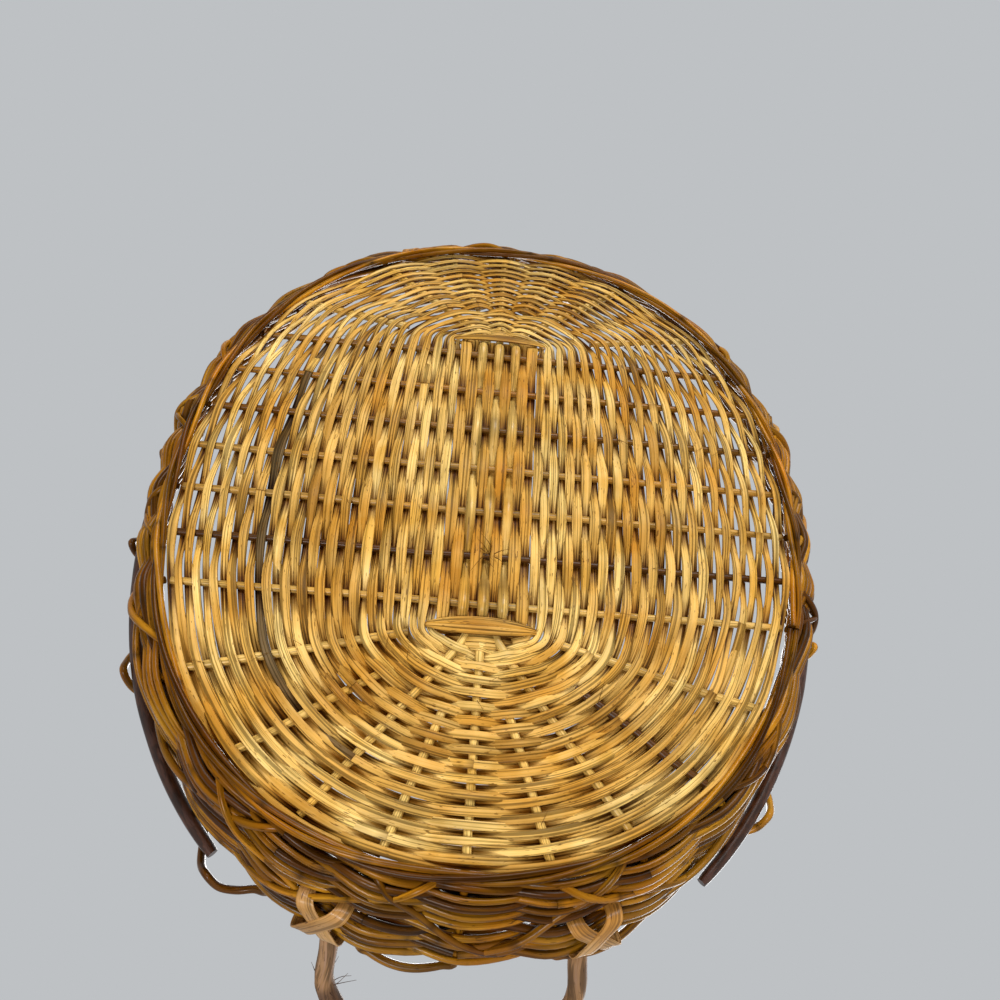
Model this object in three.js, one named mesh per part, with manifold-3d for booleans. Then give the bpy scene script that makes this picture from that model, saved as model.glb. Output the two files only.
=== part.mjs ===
// A wicker serving tray: an oval stick-and-strand base, a low flared wall of round rods woven
// on bent side stakes, scalloped stake tops, two lashed branch handles and two bark-on rim rails.
// Millimetres, +Z up, X along the tray; the origin is the middle of the surface it stands on.
import * as THREE from "three";
import { mergeVertices } from "three/addons/utils/BufferGeometryUtils.js";
import Module from "manifold-3d";

// Outline of the base: an oval where the flat weave ends.
const baseHalfLength = 176.5;
const baseHalfWidth = 162;
const ovalExponent = 2.17;

// Sticks of the base: straight cross sticks, lengthwise sticks, and spokes that fan at both ends.
const crossStickCount = 7;
const crossStickSpacing = 25.9;
const crossStickRadius = 1.9;
const stickFieldOffset = 21;
const longStickSpacing = 9.8;
const spokeRadius = 1.6;
const nearSpokeCount = 9;
const nearSpokeStep = THREE.MathUtils.degToRad(19);
const farSpokeCount = 7;
const farSpokeStep = THREE.MathUtils.degToRad(27);
const lateSpokeStart = 0.3;
const outerSpokeStart = 0.08;
const stickTrim = 2.5;

// Flat strands of the base.
const courseCount = 31;
const strandWidth = 4.2;
const strandThickness = 1.1;
const centreHalfWidth = 23;
const centreStrandWidth = 4.2;
const weaveClearance = 0.5;
const sideClearance = 0.45;
const strapWidth = 4.4;
const nearStrapTurns = 2;
const farStrapTurns = 1;
const strapSetback = 8;
const capGap = 4.4;
const capSpread = 5;

// Wall: stakes that bend up from the edge, and the rods woven round them.
const stakeRadius = 2;
const rodRadius = 2.4;
const footRodRadius = 2.8;
const rodPitch = 5.45;
const wallRowCount = 7;
const rowsUnderLashing = 3;
const lashingGap = 2.9;
const bendRadius = 14;
const sideLean = THREE.MathUtils.degToRad(12);
const endLean = THREE.MathUtils.degToRad(36);
const leanSharpness = 4;
const bareLoopRadius = 3.2;
const touchGap = 0.35;
const rodButtGap = 0.8;

// Bark-on rim rails on the long sides.
const railRadius = 4.4;
const railTipRadius = 2.6;
const railNearReach = 2.4;
const railFarReach = 1.5;

// Branch handles and their lashings at both ends.
const handleRadius = 4.8;
const handleReach = 74;
const handleLean = THREE.MathUtils.degToRad(57);
const handleFoot = 22;
const handleLegShare = 0.6;
const shoulderShare = 0.85;
const shoulderWidth = 0.62;
const lashingWidth = 8;
const lashingThickness = 1;
const lashingSlack = 1.2;
const lashingSlant = 0.75;
const lashingCorner = 1.2;
const lashingOverlap = 0.55;

const flatCore = () => new THREE.MeshStandardMaterial({ color: 0xd9a94e, roughness: 0.6, metalness: 0 });
const roundCore = () => new THREE.MeshStandardMaterial({ color: 0xbf9444, roughness: 0.55, metalness: 0 });
const glossyRod = () => new THREE.MeshStandardMaterial({ color: 0xa9772f, roughness: 0.32, metalness: 0 });
const barkBranch = () => new THREE.MeshStandardMaterial({ color: 0x4a3027, roughness: 0.5, metalness: 0 });
const peelStrip = () => new THREE.MeshStandardMaterial({ color: 0xb98a4f, roughness: 0.6, metalness: 0 });

const wasm = await Module();
wasm.setup();

const skyward = new THREE.Vector3(0, 0, 1);
const tray = new THREE.Group();

function addPiece(name, geometry, material) {
  const mesh = new THREE.Mesh(geometry, material);
  mesh.name = name;
  tray.add(mesh);
}

// Sections are lists of [sideways, outward] corners, counter-clockwise.
function roundSection(radius, sides) {
  return Array.from({ length: sides }, (_, i) => {
    const angle = ((i + 0.5) / sides) * 2 * Math.PI - Math.PI / 2;
    return [radius * Math.cos(angle), radius * Math.sin(angle)];
  });
}

function flatSection(width, thickness) {
  const a = width / 2;
  const b = thickness / 2;
  return [
    [-a, -b],
    [a, -b],
    [a, b],
    [-a, b],
  ];
}

// A closed solid swept along a path of steps { at, out, section }, capped unless it closes on itself.
function sweep(steps, isLoop = false) {
  const count = steps.length;
  const sides = steps[0].section.length;
  const positions = [];
  const faces = [];
  const stepAt = (i) => steps[(i + count) % count].at;
  steps.forEach(({ at, out, section }, i) => {
    const before = isLoop || i > 0 ? stepAt(i - 1) : at;
    const after = isLoop || i < count - 1 ? stepAt(i + 1) : at;
    const along = after.clone().sub(before).normalize();
    const side = along.clone().cross(out).normalize();
    const outward = side.clone().cross(along);
    for (const [a, b] of section) {
      const corner = at.clone().addScaledVector(side, a).addScaledVector(outward, b);
      positions.push(corner.x, corner.y, corner.z);
    }
  });
  const spans = isLoop ? count : count - 1;
  for (let i = 0; i < spans; i += 1) {
    const here = i * sides;
    const next = ((i + 1) % count) * sides;
    for (let j = 0; j < sides; j += 1) {
      const k = (j + 1) % sides;
      faces.push(here + j, next + k, here + k, here + j, next + j, next + k);
    }
  }
  if (!isLoop) {
    const last = (count - 1) * sides;
    for (let j = 1; j < sides - 1; j += 1) {
      faces.push(0, j, j + 1, last, last + j + 1, last + j);
    }
  }
  const geometry = new THREE.BufferGeometry();
  geometry.setAttribute("position", new THREE.Float32BufferAttribute(positions, 3));
  geometry.setIndex(faces);
  return geometry;
}

// The union of two closed geometries as one geometry.
function join(first, second) {
  const solidOf = (geometry) => {
    const merged = mergeVertices(geometry, 1e-4);
    return new wasm.Manifold(
      new wasm.Mesh({
        numProp: 3,
        vertProperties: merged.attributes.position.array,
        triVerts: new Uint32Array(merged.index.array),
      }),
    );
  };
  const mesh = solidOf(first).add(solidOf(second)).getMesh();
  const geometry = new THREE.BufferGeometry();
  geometry.setAttribute("position", new THREE.Float32BufferAttribute(mesh.vertProperties, 3));
  geometry.setIndex(Array.from(mesh.triVerts));
  return geometry;
}

// The oval edge of the base, by its own angle.
const signedPower = (value, power) => Math.sign(value) * Math.abs(value) ** power;

function edgePoint(angle) {
  return new THREE.Vector2(
    baseHalfLength * signedPower(Math.cos(angle), 2 / ovalExponent),
    baseHalfWidth * signedPower(Math.sin(angle), 2 / ovalExponent),
  );
}

function edgeNormal(point) {
  return new THREE.Vector2(
    signedPower(point.x / baseHalfLength, ovalExponent - 1) / baseHalfLength,
    signedPower(point.y / baseHalfWidth, ovalExponent - 1) / baseHalfWidth,
  ).normalize();
}

function edgeAngle(point) {
  return Math.atan2(
    signedPower(point.y / baseHalfWidth, ovalExponent / 2),
    signedPower(point.x / baseHalfLength, ovalExponent / 2),
  );
}

// Where a ray from a point inside the base meets its edge.
function rayToEdge(origin, direction) {
  const reach = (length) => {
    const x = Math.abs(origin.x + direction.x * length) / baseHalfLength;
    const y = Math.abs(origin.y + direction.y * length) / baseHalfWidth;
    return x ** ovalExponent + y ** ovalExponent;
  };
  const halvings = 60;
  let inside = 0;
  let outside = baseHalfLength + baseHalfWidth;
  for (let i = 0; i < halvings; i += 1) {
    const middle = (inside + outside) / 2;
    if (reach(middle) < 1) inside = middle;
    else outside = middle;
  }
  return origin.clone().addScaledVector(direction, inside);
}

// The base lies level at this height, carried by the foot rod under the stakes.
const rodOffset = stakeRadius + rodRadius + touchGap;
const footOffset = stakeRadius + footRodRadius + touchGap;
const footStation = footRodRadius + touchGap;
const footRodSides = 6;
const footTurn = footStation / bendRadius;
const footDrop = footOffset * Math.cos(footTurn) - bendRadius * (1 - Math.cos(footTurn));
const baseLevel = footRodRadius * Math.cos(Math.PI / footRodSides) + footDrop;
const strandHeight = crossStickRadius + strandThickness / 2 + weaveClearance;
const longStickHeight = crossStickRadius + spokeRadius + weaveClearance;

// Stations are the lines that every course crosses: both ends of each cross stick, and the spokes.
const firstStick = stickFieldOffset - ((crossStickCount - 1) / 2) * crossStickSpacing;
const lastStick = firstStick + (crossStickCount - 1) * crossStickSpacing;
const stickPlace = (i) => firstStick + i * crossStickSpacing;
const fans = {
  near: {
    centre: firstStick - strapSetback,
    facing: -1,
    count: nearSpokeCount,
    step: nearSpokeStep,
    strap: nearStrapTurns * strapWidth,
  },
  far: {
    centre: lastStick + strapSetback,
    facing: 1,
    count: farSpokeCount,
    step: farSpokeStep,
    strap: farStrapTurns * strapWidth,
  },
};

function stickStation(i, half) {
  const x = stickPlace(i);
  const edge = rayToEdge(new THREE.Vector2(x, 0), new THREE.Vector2(0, half));
  return { inner: new THREE.Vector2(x, half * centreHalfWidth), outer: edge, start: 0 };
}

function spokeStation(fan, k) {
  const angle = k * fan.step;
  const direction = new THREE.Vector2(fan.facing * Math.cos(angle), Math.sin(angle));
  const centre = new THREE.Vector2(fan.centre, 0);
  const capDepth = fan.strap + capGap;
  const capWidth = centreHalfWidth + capSpread;
  const cap = 1 / Math.hypot(Math.cos(angle) / capDepth, Math.sin(angle) / capWidth);
  const isLongStick = Math.abs(k) === 2 || k === 0;
  const early = isLongStick ? 0 : outerSpokeStart;
  return {
    inner: centre.clone().addScaledVector(direction, cap),
    outer: rayToEdge(centre, direction),
    start: k % 2 === 0 ? early : lateSpokeStart,
    spoke: k,
    isLongStick,
  };
}

const stations = [];
const farReach = (farSpokeCount - 1) / 2;
const nearReach = (nearSpokeCount - 1) / 2;
for (let i = 0; i < crossStickCount; i += 1) stations.push(stickStation(i, 1));
for (let k = farReach; k >= -farReach; k -= 1) stations.push(spokeStation(fans.far, k));
for (let i = crossStickCount - 1; i >= 0; i -= 1) stations.push(stickStation(i, -1));
for (let k = -nearReach; k <= nearReach; k += 1) stations.push(spokeStation(fans.near, k));
const stationCount = stations.length;
const stationAt = (j) => stations[((j % stationCount) + stationCount) % stationCount];
const onStation = (station, share) => station.inner.clone().lerp(station.outer, share);

// Angle on the edge at a station number, whole or between two stations.
function angleAt(place) {
  const from = edgeAngle(stationAt(Math.floor(place)).outer);
  const to = edgeAngle(stationAt(Math.floor(place) + 1).outer);
  const turn = THREE.MathUtils.euclideanModulo(to - from + Math.PI, 2 * Math.PI) - Math.PI;
  return from + turn * (place - Math.floor(place));
}

// Over (+1) or under (-1) at each station for a course, 0 where the spoke starts further out.
function crossingSigns(share) {
  let sign = -1;
  return stations.map((station) => {
    if (share < station.start) return 0;
    sign = -sign;
    return sign;
  });
}

// Clear width for a course at a station: the pitch square to the strand on both sides of it.
function clearPitch(j, share) {
  const station = stationAt(j);
  const across = station.outer.clone().sub(station.inner);
  const here = onStation(station, share);
  const pitches = [j - 1, j + 1].map((neighbour) => {
    const along = onStation(stationAt(neighbour), share).sub(here).normalize();
    return Math.abs(along.cross(across)) / courseCount;
  });
  return Math.min(...pitches);
}

const level = (point, height) => new THREE.Vector3(point.x, point.y, baseLevel + height);

// Courses keep their line along the sides and far end, and step out by two across the near end.
const steadyStations = 2 * crossStickCount + farSpokeCount - 1;

function coursesGained(m) {
  const turn = Math.floor(m / stationCount);
  const past = m - turn * stationCount - steadyStations;
  return 2 * (turn + Math.max(past, 0) / (stationCount - steadyStations));
}

// One of the two flat strands that chase each other round the base, two courses a turn.
function baseWeaver(lead, sense) {
  const steps = [];
  for (let m = -stationCount; m < courseCount * stationCount; m += 1) {
    const course = lead + coursesGained(m);
    if (course < 0 || course > courseCount - 1) continue;
    const share = (course + 0.5) / courseCount;
    const sign = crossingSigns(share)[(m + stationCount) % stationCount] * sense;
    const width = Math.min(strandWidth, clearPitch(m, share) - sideClearance);
    steps.push({
      at: level(onStation(stationAt(m), share), sign * strandHeight),
      out: skyward,
      section: flatSection(width, strandThickness),
    });
  }
  return sweep(steps);
}

// A stick is cut a little short of the edge, where the side stake carries on.
function trimmedEnd(station) {
  const along = station.outer.clone().sub(station.inner).normalize();
  return station.outer.clone().addScaledVector(along, -stickTrim);
}

function crossStick(i) {
  const section = roundSection(crossStickRadius, 8);
  const ends = [-1, 1].map((half) => trimmedEnd(stickStation(i, half)));
  return sweep(ends.map((end) => ({ at: level(end, 0), out: skyward, section })));
}

// A lengthwise stick passes over and under the cross sticks, then fans out as a spoke at each end.
function longStick(column) {
  const section = roundSection(spokeRadius, 6);
  const y = column * longStickSpacing;
  const near = spokeStation(fans.near, 2 * column);
  const far = spokeStation(fans.far, 2 * column);
  const strapEdge = (fan) => level(new THREE.Vector2(fan.centre, y), 0);
  const path = [level(trimmedEnd(near), 0), level(near.inner, 0), strapEdge(fans.near)];
  for (let i = 0; i < crossStickCount; i += 1) {
    const sign = i % 2 === 0 ? -1 : 1;
    path.push(level(new THREE.Vector2(stickPlace(i), y), sign * longStickHeight));
  }
  path.push(strapEdge(fans.far), level(far.inner, 0), level(trimmedEnd(far), 0));
  return sweep(path.map((at) => ({ at, out: skyward, section })));
}

function endSpoke(station) {
  const section = roundSection(spokeRadius, 6);
  const ends = [onStation(station, station.start + 1 / courseCount), trimmedEnd(station)];
  return sweep(ends.map((end) => ({ at: level(end, 0), out: skyward, section })));
}

// A flat centre strand runs lengthwise, turning back at the strap for each further column.
function centreStrand(columns, half) {
  const section = flatSection(centreStrandWidth, strandThickness);
  const turn = strapSetback - centreStrandWidth / 2;
  const steps = [];
  columns.forEach((column, run) => {
    const y = half * column * (longStickSpacing / 2);
    const order = Array.from({ length: crossStickCount }, (_, i) => i);
    if (run % 2 === 1) order.reverse();
    const begin = run % 2 === 0 ? firstStick - turn : lastStick + turn;
    const finish = run % 2 === 0 ? lastStick + turn : firstStick - turn;
    const place = (x, height) => ({ at: level(new THREE.Vector2(x, y), height), out: skyward, section });
    steps.push(place(begin, 0));
    for (const i of order) {
      const sign = (i + column) % 2 === 0 ? -1 : 1;
      steps.push(place(stickPlace(i), sign * strandHeight));
    }
    steps.push(place(finish, 0));
  });
  return sweep(steps);
}

// A strap closes round the lengthwise sticks just past the last cross stick.
function endStrap(fan) {
  const half = centreHalfWidth - strandThickness;
  const lift = spokeRadius + weaveClearance + strandThickness / 2;
  const x = fan.centre + (fan.facing * fan.strap) / 2;
  const section = flatSection(fan.strap, strandThickness);
  const corners = [
    [-half, 0],
    [-half + lift, lift],
    [half - lift, lift],
    [half, 0],
    [half - lift, -lift],
    [-half + lift, -lift],
  ];
  const steps = corners.map(([y, height]) => ({
    at: level(new THREE.Vector2(x, y), height),
    out: new THREE.Vector3(0, y / half, height / lift),
    section,
  }));
  return sweep(steps, true);
}

// The wall's middle surface: level at the edge, bent up, then straight, leaning out most at the ends.
function bendLengthAt(normal) {
  const lean = sideLean + (endLean - sideLean) * normal.x ** leanSharpness;
  return bendRadius * (Math.PI / 2 - lean);
}

function wallPoint(angle, rise, outset) {
  const edge = edgePoint(angle);
  const normal = edgeNormal(edge);
  const bendLength = bendLengthAt(normal);
  const turn = Math.min(rise, bendLength) / bendRadius;
  const straight = Math.max(rise - bendLength, 0);
  const flare = bendRadius * Math.sin(turn) + straight * Math.cos(turn) + outset * Math.sin(turn);
  const height = bendRadius * (1 - Math.cos(turn)) + straight * Math.sin(turn) - outset * Math.cos(turn);
  return level(edge.addScaledVector(normal, flare), height);
}

function wallOutward(angle, rise) {
  return wallPoint(angle, rise, 1).sub(wallPoint(angle, rise, 0));
}

const firstRowRise = bendRadius * (Math.PI / 2 - endLean);
const rowRise = (row) => firstRowRise + row * rodPitch + (row < rowsUnderLashing ? 0 : lashingGap);
const topRise = rowRise(wallRowCount - 1);
const railRise = topRise + rodRadius + railRadius + touchGap;
const railOutset = stakeRadius + railRadius + touchGap;
const bareLoopRise = topRise + rodRadius + lashingThickness + stakeRadius + 2 * touchGap;

// A round rod woven in and out of the stakes, its ends butting behind one stake.
function wovenRod(rise, firstSense, startStation) {
  const section = roundSection(rodRadius, 5);
  const steps = [];
  const butt = rodButtGap / crossStickSpacing;
  for (let m = 0; m <= stationCount; m += 1) {
    const place = startStation + m + (m === stationCount ? -butt : 0);
    const sense = (startStation + m) % 2 === 0 ? firstSense : -firstSense;
    const angle = angleAt(place);
    steps.push({ at: wallPoint(angle, rise, sense * rodOffset), out: wallOutward(angle, rise), section });
  }
  return sweep(steps);
}

// The foot rod lies level under the stakes with a flat side down.
function footRod() {
  const section = roundSection(footRodRadius, footRodSides);
  const steps = [];
  const stepsPerStation = 2;
  const total = stationCount * stepsPerStation;
  const butt = rodButtGap / crossStickSpacing;
  for (let m = 0; m <= total; m += 1) {
    const place = m / stepsPerStation - (m === total ? butt : 0);
    steps.push({ at: wallPoint(angleAt(place), footStation, footOffset), out: skyward, section });
  }
  return sweep(steps);
}

// Rails run along the long sides and on round the corners, a few stations past the cross sticks.
const railPlaces = [-railNearReach, crossStickCount - 1 + railFarReach];
const mirroredPlace = (place) => 2 * crossStickCount + farSpokeCount - 1 - place;
const railStations = { right: railPlaces, left: railPlaces.map(mirroredPlace).reverse() };

function holdsRail(first) {
  return Object.values(railStations).some(([from, to]) =>
    [first, first - stationCount].some((place) => place + 1 > from && place < to),
  );
}

// A side stake rises at one station, loops out round the rail's line and goes down at the next.
// Where no rail passes, the loop is small and lies close over the top row.
function sideStake(first) {
  const section = roundSection(stakeRadius, 5);
  const bendSteps = 4;
  const loopSteps = 8;
  const hook = Math.cos(Math.PI / loopSteps);
  const loopOutset = holdsRail(first) ? railOutset : bareLoopRadius * hook;
  const loopRadius = loopOutset / hook;
  const loopRise = holdsRail(first) ? railRise : bareLoopRise;
  const steps = [];
  const push = (place, rise, outset) => {
    const angle = angleAt(place);
    steps.push({ at: wallPoint(angle, rise, outset), out: wallOutward(angle, rise), section });
  };
  const legRises = (place) => {
    const bendLength = bendLengthAt(edgeNormal(edgePoint(angleAt(place))));
    const bend = Array.from({ length: bendSteps }, (_, i) => (bendLength * (i + 1)) / bendSteps);
    return [touchGap, ...bend, loopRise];
  };
  for (const rise of legRises(first)) push(first, rise, 0);
  for (let i = 1; i < loopSteps; i += 1) {
    const share = i / loopSteps;
    const wrap = Math.PI * Math.abs(1 - 2 * share);
    const rise = loopRise + loopRadius * Math.sin(wrap);
    push(first + share, rise, loopOutset + loopRadius * Math.cos(wrap));
  }
  for (const rise of legRises(first + 1).reverse()) push(first + 1, rise, 0);
  return sweep(steps);
}

function rimRail([from, to]) {
  const count = 14;
  const steps = [];
  for (let m = 0; m <= count; m += 1) {
    const share = m / count;
    const angle = angleAt(from + (to - from) * share);
    const radius = railTipRadius + (railRadius - railTipRadius) * Math.sin(Math.PI * share) ** 0.4;
    steps.push({
      at: wallPoint(angle, railRise, railOutset),
      out: skyward,
      section: roundSection(radius, 6),
    });
  }
  return sweep(steps);
}

// Handles seat inside the wall, just past the stakes on both sides of the middle one.
const rowsReach = rodOffset + rodRadius;
const handleOutset = -(rowsReach + touchGap + handleRadius);
const lashingSpread = handleRadius + lashingSlack + lashingWidth / 2;
const middleStation = {
  near: 2 * crossStickCount + farSpokeCount + nearReach,
  far: crossStickCount + farReach,
};

function handlePlaces(end) {
  const reach = lashingSpread + lashingWidth * lashingSlant + stakeRadius + touchGap;
  return [-1, 1].map((half) => {
    const stake = middleStation[end] + half;
    const gap = wallPoint(angleAt(stake), topRise, 0).distanceTo(wallPoint(angleAt(stake + half), topRise, 0));
    return stake + (half * reach) / gap;
  });
}

// A handle follows the wall up to the rim, then leans further out, and bends over in a hoop.
function branchHandle(end) {
  const section = roundSection(handleRadius, 8);
  const lean = new THREE.Vector3(fans[end].facing * Math.sin(handleLean), 0, Math.cos(handleLean));
  const legs = handlePlaces(end).map((place) => {
    const angle = angleAt(place);
    return [handleFoot, topRise, bareLoopRise].map((rise) => wallPoint(angle, rise, handleOutset));
  });
  const onHoop = ([, , rim], width, share) => {
    const point = rim.clone().addScaledVector(lean, handleReach * share);
    point.y *= width;
    return point;
  };
  const shoulderPlace = handleLegShare + (1 - handleLegShare) * shoulderShare;
  const halves = legs.map((leg) => [
    ...leg,
    onHoop(leg, 1, handleLegShare / 2),
    onHoop(leg, 1, handleLegShare),
    onHoop(leg, shoulderWidth, shoulderPlace),
  ]);
  const top = onHoop(legs[0], 0, 1);
  const curve = new THREE.CatmullRomCurve3([...halves[0], top, ...halves[1].reverse()]);
  const curveSteps = 20;
  return sweep(curve.getPoints(curveSteps).map((at) => ({ at, out: new THREE.Vector3(1, 0, 0), section })));
}

// A lashing of flat peel crosses over the wall's top rows outside, and over the handle inside.
function lashing(place) {
  const angle = angleAt(place);
  const outward = wallOutward(angle, topRise);
  const upward = wallPoint(angle, topRise, 0).sub(wallPoint(angle, topRise - 1, 0));
  const along = upward.clone().cross(outward);
  const bottom = (rowRise(rowsUnderLashing - 1) + rowRise(rowsUnderLashing)) / 2;
  const top = topRise + rodRadius + touchGap + lashingThickness / 2;
  const corner = lashingCorner;
  const cornerTilt = 0.4;
  const section = flatSection(lashingWidth, lashingThickness);
  const band = (lean, overlap) => {
    const outside = rowsReach + touchGap + lashingThickness / 2 + overlap;
    const inside = handleOutset - handleRadius - lashingSlack - lashingThickness / 2 - overlap;
    const outline = [
      [outside - corner, bottom],
      [outside, bottom + corner],
      [outside, top - corner],
      [outside - corner, top],
      [rodOffset, top],
      [handleOutset, top],
      [inside + corner, top],
      [inside, top - corner],
      [inside, bottom + corner],
      [inside + corner, bottom],
      [handleOutset, bottom],
      [rodOffset, bottom],
    ];
    const middleRise = (top + bottom) / 2;
    const middleOut = (outside + inside) / 2;
    const steps = outline.map(([outset, rise]) => {
      const share = THREE.MathUtils.clamp((rise - middleRise) / ((top - bottom) / 2 - corner), -1, 1);
      const at = wallPoint(angle, rise, outset).addScaledVector(along, lean * lashingSpread * share);
      const out = outward.clone().multiplyScalar(Math.sign(outset - middleOut));
      const isFlank = Math.abs(outset - middleOut) > (outside - inside) / 2 - corner / 2;
      const ends = upward.clone().multiplyScalar(Math.sign(rise - middleRise));
      return { at, out: isFlank ? out.addScaledVector(ends, cornerTilt) : ends.addScaledVector(out, cornerTilt), section };
    });
    return sweep(steps, true);
  };
  return join(band(1, lashingOverlap), band(-1, 0));
}

// Base
for (let i = 0; i < crossStickCount; i += 1) addPiece(`cross_stick_${i + 1}`, crossStick(i), roundCore());
addPiece("long_stick_left", longStick(-1), roundCore());
addPiece("long_stick_middle", longStick(0), roundCore());
addPiece("long_stick_right", longStick(1), roundCore());
for (const [end, fan] of Object.entries(fans)) {
  let number = 0;
  const reach = (fan.count - 1) / 2;
  for (let k = -reach; k <= reach; k += 1) {
    const station = spokeStation(fan, k);
    if (station.isLongStick) continue;
    number += 1;
    addPiece(`${end}_spoke_${number}`, endSpoke(station), roundCore());
  }
  addPiece(`${end}_strap`, endStrap(fan), flatCore());
}
addPiece("centre_strand_left", centreStrand([1], -1), flatCore());
addPiece("centre_strand_right", centreStrand([1], 1), flatCore());
addPiece("bundle_strand_left", centreStrand([3, 4], -1), flatCore());
addPiece("bundle_strand_right", centreStrand([3, 4], 1), flatCore());
addPiece("base_weaver_a", baseWeaver(0, 1), flatCore());
addPiece("base_weaver_b", baseWeaver(1, -1), flatCore());

// Wall
addPiece("foot_rod", footRod(), glossyRod());
addPiece("edge_rod", wovenRod(footStation + rodRadius + footRodRadius + touchGap, 1, 3), glossyRod());
for (let row = 0; row < wallRowCount; row += 1) {
  const sense = row % 2 === 0 ? -1 : 1;
  addPiece(`wall_rod_${row + 1}`, wovenRod(rowRise(row), sense, 5 + 4 * row), glossyRod());
}
for (let first = 0; first < stationCount; first += 2) {
  addPiece(`side_stake_${first / 2 + 1}`, sideStake(first), glossyRod());
}

// Rim
addPiece("rim_rail_left", rimRail(railStations.left), barkBranch());
addPiece("rim_rail_right", rimRail(railStations.right), barkBranch());
for (const end of Object.keys(fans)) {
  addPiece(`${end}_handle`, branchHandle(end), barkBranch());
  handlePlaces(end).forEach((place, i) => {
    addPiece(`${end}_lashing_${i + 1}`, lashing(place), peelStrip());
  });
}

export default tray;
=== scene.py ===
"""Dresses the wicker serving tray: flat cane base, skin-on rods, bark rails and lashed handles."""
from __future__ import annotations

import logging
import math
from dataclasses import dataclass, field
from enum import Enum

import bpy
import numpy as np
from mathutils import Matrix, Vector

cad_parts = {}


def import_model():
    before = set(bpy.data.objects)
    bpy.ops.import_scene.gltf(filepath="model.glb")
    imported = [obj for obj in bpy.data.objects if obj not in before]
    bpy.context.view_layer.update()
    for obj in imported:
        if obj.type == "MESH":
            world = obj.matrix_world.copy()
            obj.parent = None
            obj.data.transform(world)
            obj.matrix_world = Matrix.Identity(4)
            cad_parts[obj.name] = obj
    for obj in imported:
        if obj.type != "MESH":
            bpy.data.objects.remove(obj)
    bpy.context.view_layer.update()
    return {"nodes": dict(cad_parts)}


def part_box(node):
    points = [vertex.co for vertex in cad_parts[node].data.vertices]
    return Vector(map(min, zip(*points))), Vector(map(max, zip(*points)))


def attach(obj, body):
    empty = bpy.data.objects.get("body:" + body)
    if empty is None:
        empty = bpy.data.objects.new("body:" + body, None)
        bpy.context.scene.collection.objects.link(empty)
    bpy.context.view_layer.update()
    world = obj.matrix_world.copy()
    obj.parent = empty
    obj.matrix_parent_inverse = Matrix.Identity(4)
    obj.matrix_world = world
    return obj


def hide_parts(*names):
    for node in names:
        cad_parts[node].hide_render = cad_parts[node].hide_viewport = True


LOG = logging.getLogger("tray")
MM = 0.001
SKYWARD = np.array([0.0, 0.0, 1.0])
Colour = tuple[float, float, float, float]
Range = tuple[float, float]
# A slow drift along a length: the distance between two of its turns, and its usual size.
Drift = tuple[float, float]
# Socket numbers of a mix node: two colours and their mix, then two values and theirs.
COLOUR_A, COLOUR_B, COLOUR_MIX = 6, 7, 2
VALUE_A, VALUE_B, VALUE_MIX = 2, 3, 0


class End(Enum):
    """The two ends of the tray, with the way each one faces along X."""

    NEAR = -1
    FAR = 1


class Side(Enum):
    """The two long sides of the tray, with the way each one faces along Y."""

    LEFT = -1
    RIGHT = 1


class Section(Enum):
    """The shapes a length can have across, as corners of unit half width and half depth."""

    ROUND = tuple((math.cos(i * math.pi / 5), math.sin(i * math.pi / 5)) for i in range(10))
    SPLIT = ((1, -0.5), (1, 0.5), (0.88, 0.9), (0.4, 0.98), (-0.4, 0.98), (-0.88, 0.9),
             (-1, 0.5), (-1, -0.5), (-0.88, -0.9), (-0.4, -0.98), (0.4, -0.98), (0.88, -0.9))


def srgb(red: int, green: int, blue: int) -> Colour:
    """Turns a colour as seen on a screen into the linear values a shader takes.

    Args:
        red, green, blue: screen values from 0 to 255.

    Returns:
        The linear colour with full cover.
    """
    parts = [v / 255 for v in (red, green, blue)]
    linear = [v / 12.92 if v <= 0.04045 else ((v + 0.055) / 1.055) ** 2.4 for v in parts]
    return (*linear, 1.0)


def signed_power(value: np.ndarray | float, power: float) -> np.ndarray | float:
    """Raises the size of a value to a power and keeps its sign."""
    return np.sign(value) * np.abs(value) ** power


def smooth(points: np.ndarray, per_span: int) -> np.ndarray:
    """Runs a smooth line through rows of points, column by column.

    Args:
        points: one row for each point; columns may hold places, widths or marks.
        per_span: steps between two points.

    Returns:
        The rows of the smooth line, from the first point to the last.
    """
    ends = np.vstack([2 * points[0] - points[1], points, 2 * points[-1] - points[-2]])
    a, b, c, d = (ends[i : len(ends) - 3 + i, None] for i in range(4))
    t = np.linspace(0, 1, per_span, endpoint=False)[None, :, None]
    square, cube = a - 2.5 * b + 2 * c - d / 2, 1.5 * (b - c) + (d - a) / 2
    line = b + (c - a) * t / 2 + square * t**2 + cube * t**3
    return np.vstack([line.reshape(-1, points.shape[1]), points[-1:]])


def lengths_along(path: np.ndarray) -> np.ndarray:
    """Gives the distance along a path at each of its points."""
    return np.concatenate([[0.0], np.cumsum(np.linalg.norm(np.diff(path, axis=0), axis=1))])


def cut_ends(along: np.ndarray, reach: float) -> np.ndarray:
    """How near each point of a length is to a cut end: 1 at the cut, and little past the reach."""
    return np.exp(-np.minimum(along, along[-1] - along) / reach)


def wander(rng: np.random.Generator, along: np.ndarray, drift: Drift) -> np.ndarray:
    """Makes a slow random drift along a length.

    Args:
        rng: the seeded source of chance.
        along: distance along the length at each point, in metres.
        drift: the distance between two turns of the drift, and its usual size.

    Returns:
        The drift at each point.
    """
    every, size = drift
    count = max(4, int(along[-1] / every) + 3)
    knots = np.linspace(0, along[-1], count)
    return np.interp(along, knots, rng.normal(0, size, count))


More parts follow.
